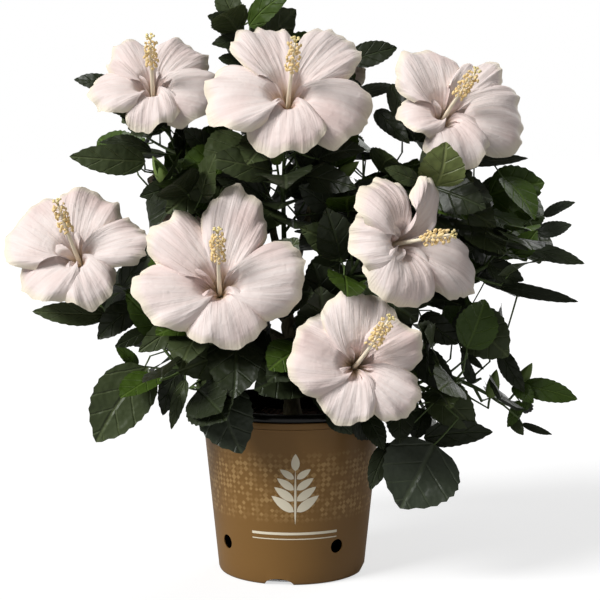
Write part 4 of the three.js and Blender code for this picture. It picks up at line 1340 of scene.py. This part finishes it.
def nearest_wood(limbs, point):
    """The place on the nearest limb to a point, which then bears something there."""
    spots = [(np.linalg.norm(limb.line.at(t) - point), index, t) for index, limb in enumerate(limbs)
             for t in np.linspace(0.08, 1, 16)]
    _, index, t = min(spots)
    limbs[index].bear(t)
    return limbs[index].line.at(t)


def stalk_to(limbs, end, along, radius):
    """A stalk from the mass's wood to a flower or a bud."""
    root = nearest_wood(limbs, end - along * 20)
    bend = end - along * 0.45 * np.linalg.norm(end - root)
    line = Line(bowed(root, bend, end + along * 2, count=12))
    limbs.append(Limb(line, foot=radius * 0.85, tip=radius, sides=8, used=1.0))


def try_leaf(foliage, limb, t, number, shift, draw):
    """One leaf on a limb, turned on by the golden angle until it finds room. The further up its
    limb it sits, the younger it is, from an age of 1 to 0."""
    age = (1 - t) * 0.95
    root = limb.line.at(t)
    tangent = limb.line.way(t)
    side, other = square_to(tangent)
    outward = unit(vec([root[0], root[1], 0.001]))
    fronting = vec([0, 1 if root[1] > 20 else -1, 0])
    size = mix(LEAF["youngest"], LEAF["oldest"], age ** 0.45) * draw.uniform(0.85, 1.05)
    petiole = LEAF["petiole"] * draw.uniform(0.6, 1.3)
    drop = mix(0.05, 0.6, age) * draw.uniform(0.4, 1.5)
    tone = leaf_tone(draw, age)
    for attempt in range(LEAF["tries"]):
        angle = GOLDEN_ANGLE * (number + attempt) + shift
        way = unit(fan(angle, side, other) + 0.5 * tangent + 0.3 * outward + 0.2 * UP)
        start = root + way * petiole
        tip = start + unit(way - UP * drop + outward * 0.15) * size * 0.97 ** attempt
        if hides_bloom(tip) or hides_bloom(start) or hides_bloom(mix(start, tip, 0.5)):
            continue
        face = unit(0.55 * UP + 0.35 * outward + draw.uniform(0.2, 1.1) * fronting
                    + 0.3 * vec([draw.uniform(-1, 1), draw.uniform(-1, 1), 0]))
        width = size * draw.uniform(0.64, 0.82)
        if foliage.leaf(root, start, tip, face, width, tone, draw, limit=LEAF["crossed"]):
            limb.bear(t)
            return


def clothe(foliage, limbs, draw):
    """Leaves up every limb at the golden turn: old and large at its foot, young at its tip."""
    for order, limb in enumerate(limbs):
        count = max(2, round(limb.line.length / LEAF["spacing"]))
        for number in range(count):
            t = mix(0.2, 1.0, (number + 0.6) / count)
            try_leaf(foliage, limb, t, number, 1.35 * order, draw)


def solids_tree(objects):
    """One search tree over the pieces that leaves may not cross, in millimetres."""
    points = []
    faces = []
    for obj in objects:
        shift = len(points)
        points.extend([list(corner.co / MM) for corner in obj.data.vertices])
        faces.extend([[corner + shift for corner in face.vertices] for face in obj.data.polygons])
    return BVHTree.FromPolygons(points, faces)


def build_foliage(solid_objects, greens):
    """All limbs first, then stalks for flowers and buds, the placed leaves, and the dealt ones."""
    foliage = Foliage(solids_tree(solid_objects))
    grown = {}
    for mass in MASSES:
        draw = random.Random(mass["seed"])
        grown[mass["name"]] = (grow_limbs(mass, foliage.solids, draw), draw)
    for flower in BLOOMS:
        axis = unit(vec(flower["face"]))
        stalk_to(grown[flower["mass"]][0], vec(flower["throat"]) - axis * TUBE, axis, radius=1.8)
    for bud in BUDS:
        way = unit(vec(bud["along"]))
        stalk_to(grown[bud["mass"]][0], vec(bud["at"]) - way * BUD_LENGTH / 2, way, radius=1.3)
        add_bud(greens, bud)
    for name, leaves in LEAVES.items():
        limbs, draw = grown[name]
        for start, tip, width, front, tone in leaves:
            root = nearest_wood(limbs, vec(start))
            foliage.leaf(root, vec(start), vec(tip), leaf_face(front), width, tone, draw)
    for limbs, draw in grown.values():
        clothe(foliage, limbs, draw)
    for limbs, _ in grown.values():
        for limb in limbs:
            if limb.used:
                foliage.draw_limb(limb)
    return foliage


# ---------------------------------------------------------------- the whole plant
pot_pieces = build_pot()
pot_print = build_print()
soil_bed = build_soil()
chips = build_chips()
wood = build_wood()
greens = Pile()
petals, columns, stigmas, anthers = build_blooms(greens)
foliage = build_foliage([*pot_pieces, soil_bed, wood, petals], greens)
twigs = foliage.twigs.made("twigs", SHOOT)
stalks = foliage.stalks.made("leaf_stalks", SHOOT)
green_pieces = greens.made("calyxes_and_buds", calyx_green())
leaves = [pile.made(f"leaves_{tone}", TONES[tone]) for tone, pile in foliage.tones.items() if pile.count]

bough_nodes = [f"bough_{mass['name']}" for mass in MASSES if mass["leave"]]
foliage_nodes = [f"foliage_{mass['name']}" for mass in MASSES]
plant_pieces = [twigs, stalks, green_pieces, petals, columns, stigmas, anthers, *leaves]
for piece in [*pot_pieces, pot_print]:
    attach(piece, "root")
    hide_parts("pot")
for piece in (soil_bed, chips):
    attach(piece, "root")
    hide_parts("soil")
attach(wood, "root")
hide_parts("trunk", *bough_nodes)
for piece in plant_pieces:
    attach(piece, "root")
    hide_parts(*foliage_nodes)


# ---------------------------------------------------------------- floor, light and camera
def build_floor():
    floor = Pile()
    reach = 40000
    corners = [[-reach, -reach, 0], [reach, -reach, 0], [reach, reach, 0], [-reach, reach, 0]]
    floor.add(vec(corners), [[0, 1, 2, 3]])
    return floor.made("floor", plain_floor(), smooth=False)


def soft_light(name, towards, spread, energy):
    """An even light that comes from one direction, softened by its spread in degrees."""
    light = bpy.data.lights.new(name, "SUN")
    light.angle = math.radians(spread)
    light.energy = energy
    placed(name, light).rotation_euler = Vector(towards).to_track_quat("Z", "Y").to_euler()


def white_studio():
    """A world that the camera sees as white and that lights the plant softly."""
    world = bpy.data.worlds.new("studio")
    world.use_nodes = True
    tree = world.node_tree
    ray = node(tree, "ShaderNodeLightPath").outputs["Is Camera Ray"]
    strength = node(tree, "ShaderNodeMapRange", {"Value": ray, "To Min": 0.21, "To Max": 1.0})
    backdrop = tree.nodes["Background"]
    backdrop.inputs["Color"].default_value = linear("#ffffff")
    tree.links.new(strength.outputs[0], backdrop.inputs["Strength"])
    return world


def build_camera():
    lens = bpy.data.cameras.new("camera")
    lens.lens = CAMERA["lens"]
    lens.sensor_width = CAMERA["sensor"]
    camera = placed("camera", lens)
    camera.location = Vector(CAMERA["place"]) * MM
    camera.rotation_euler = (math.radians(90 - CAMERA["down"]), 0, 0)
    return camera


build_floor()
soft_light("key_light", (-0.78, -0.56, 0.74), spread=24, energy=3.4)
soft_light("back_light", (0.6, 0.8, 0.3), spread=50, energy=1.2)
scene = bpy.context.scene
scene.world = white_studio()
scene.view_settings.view_transform = "Standard"
scene.camera = build_camera()
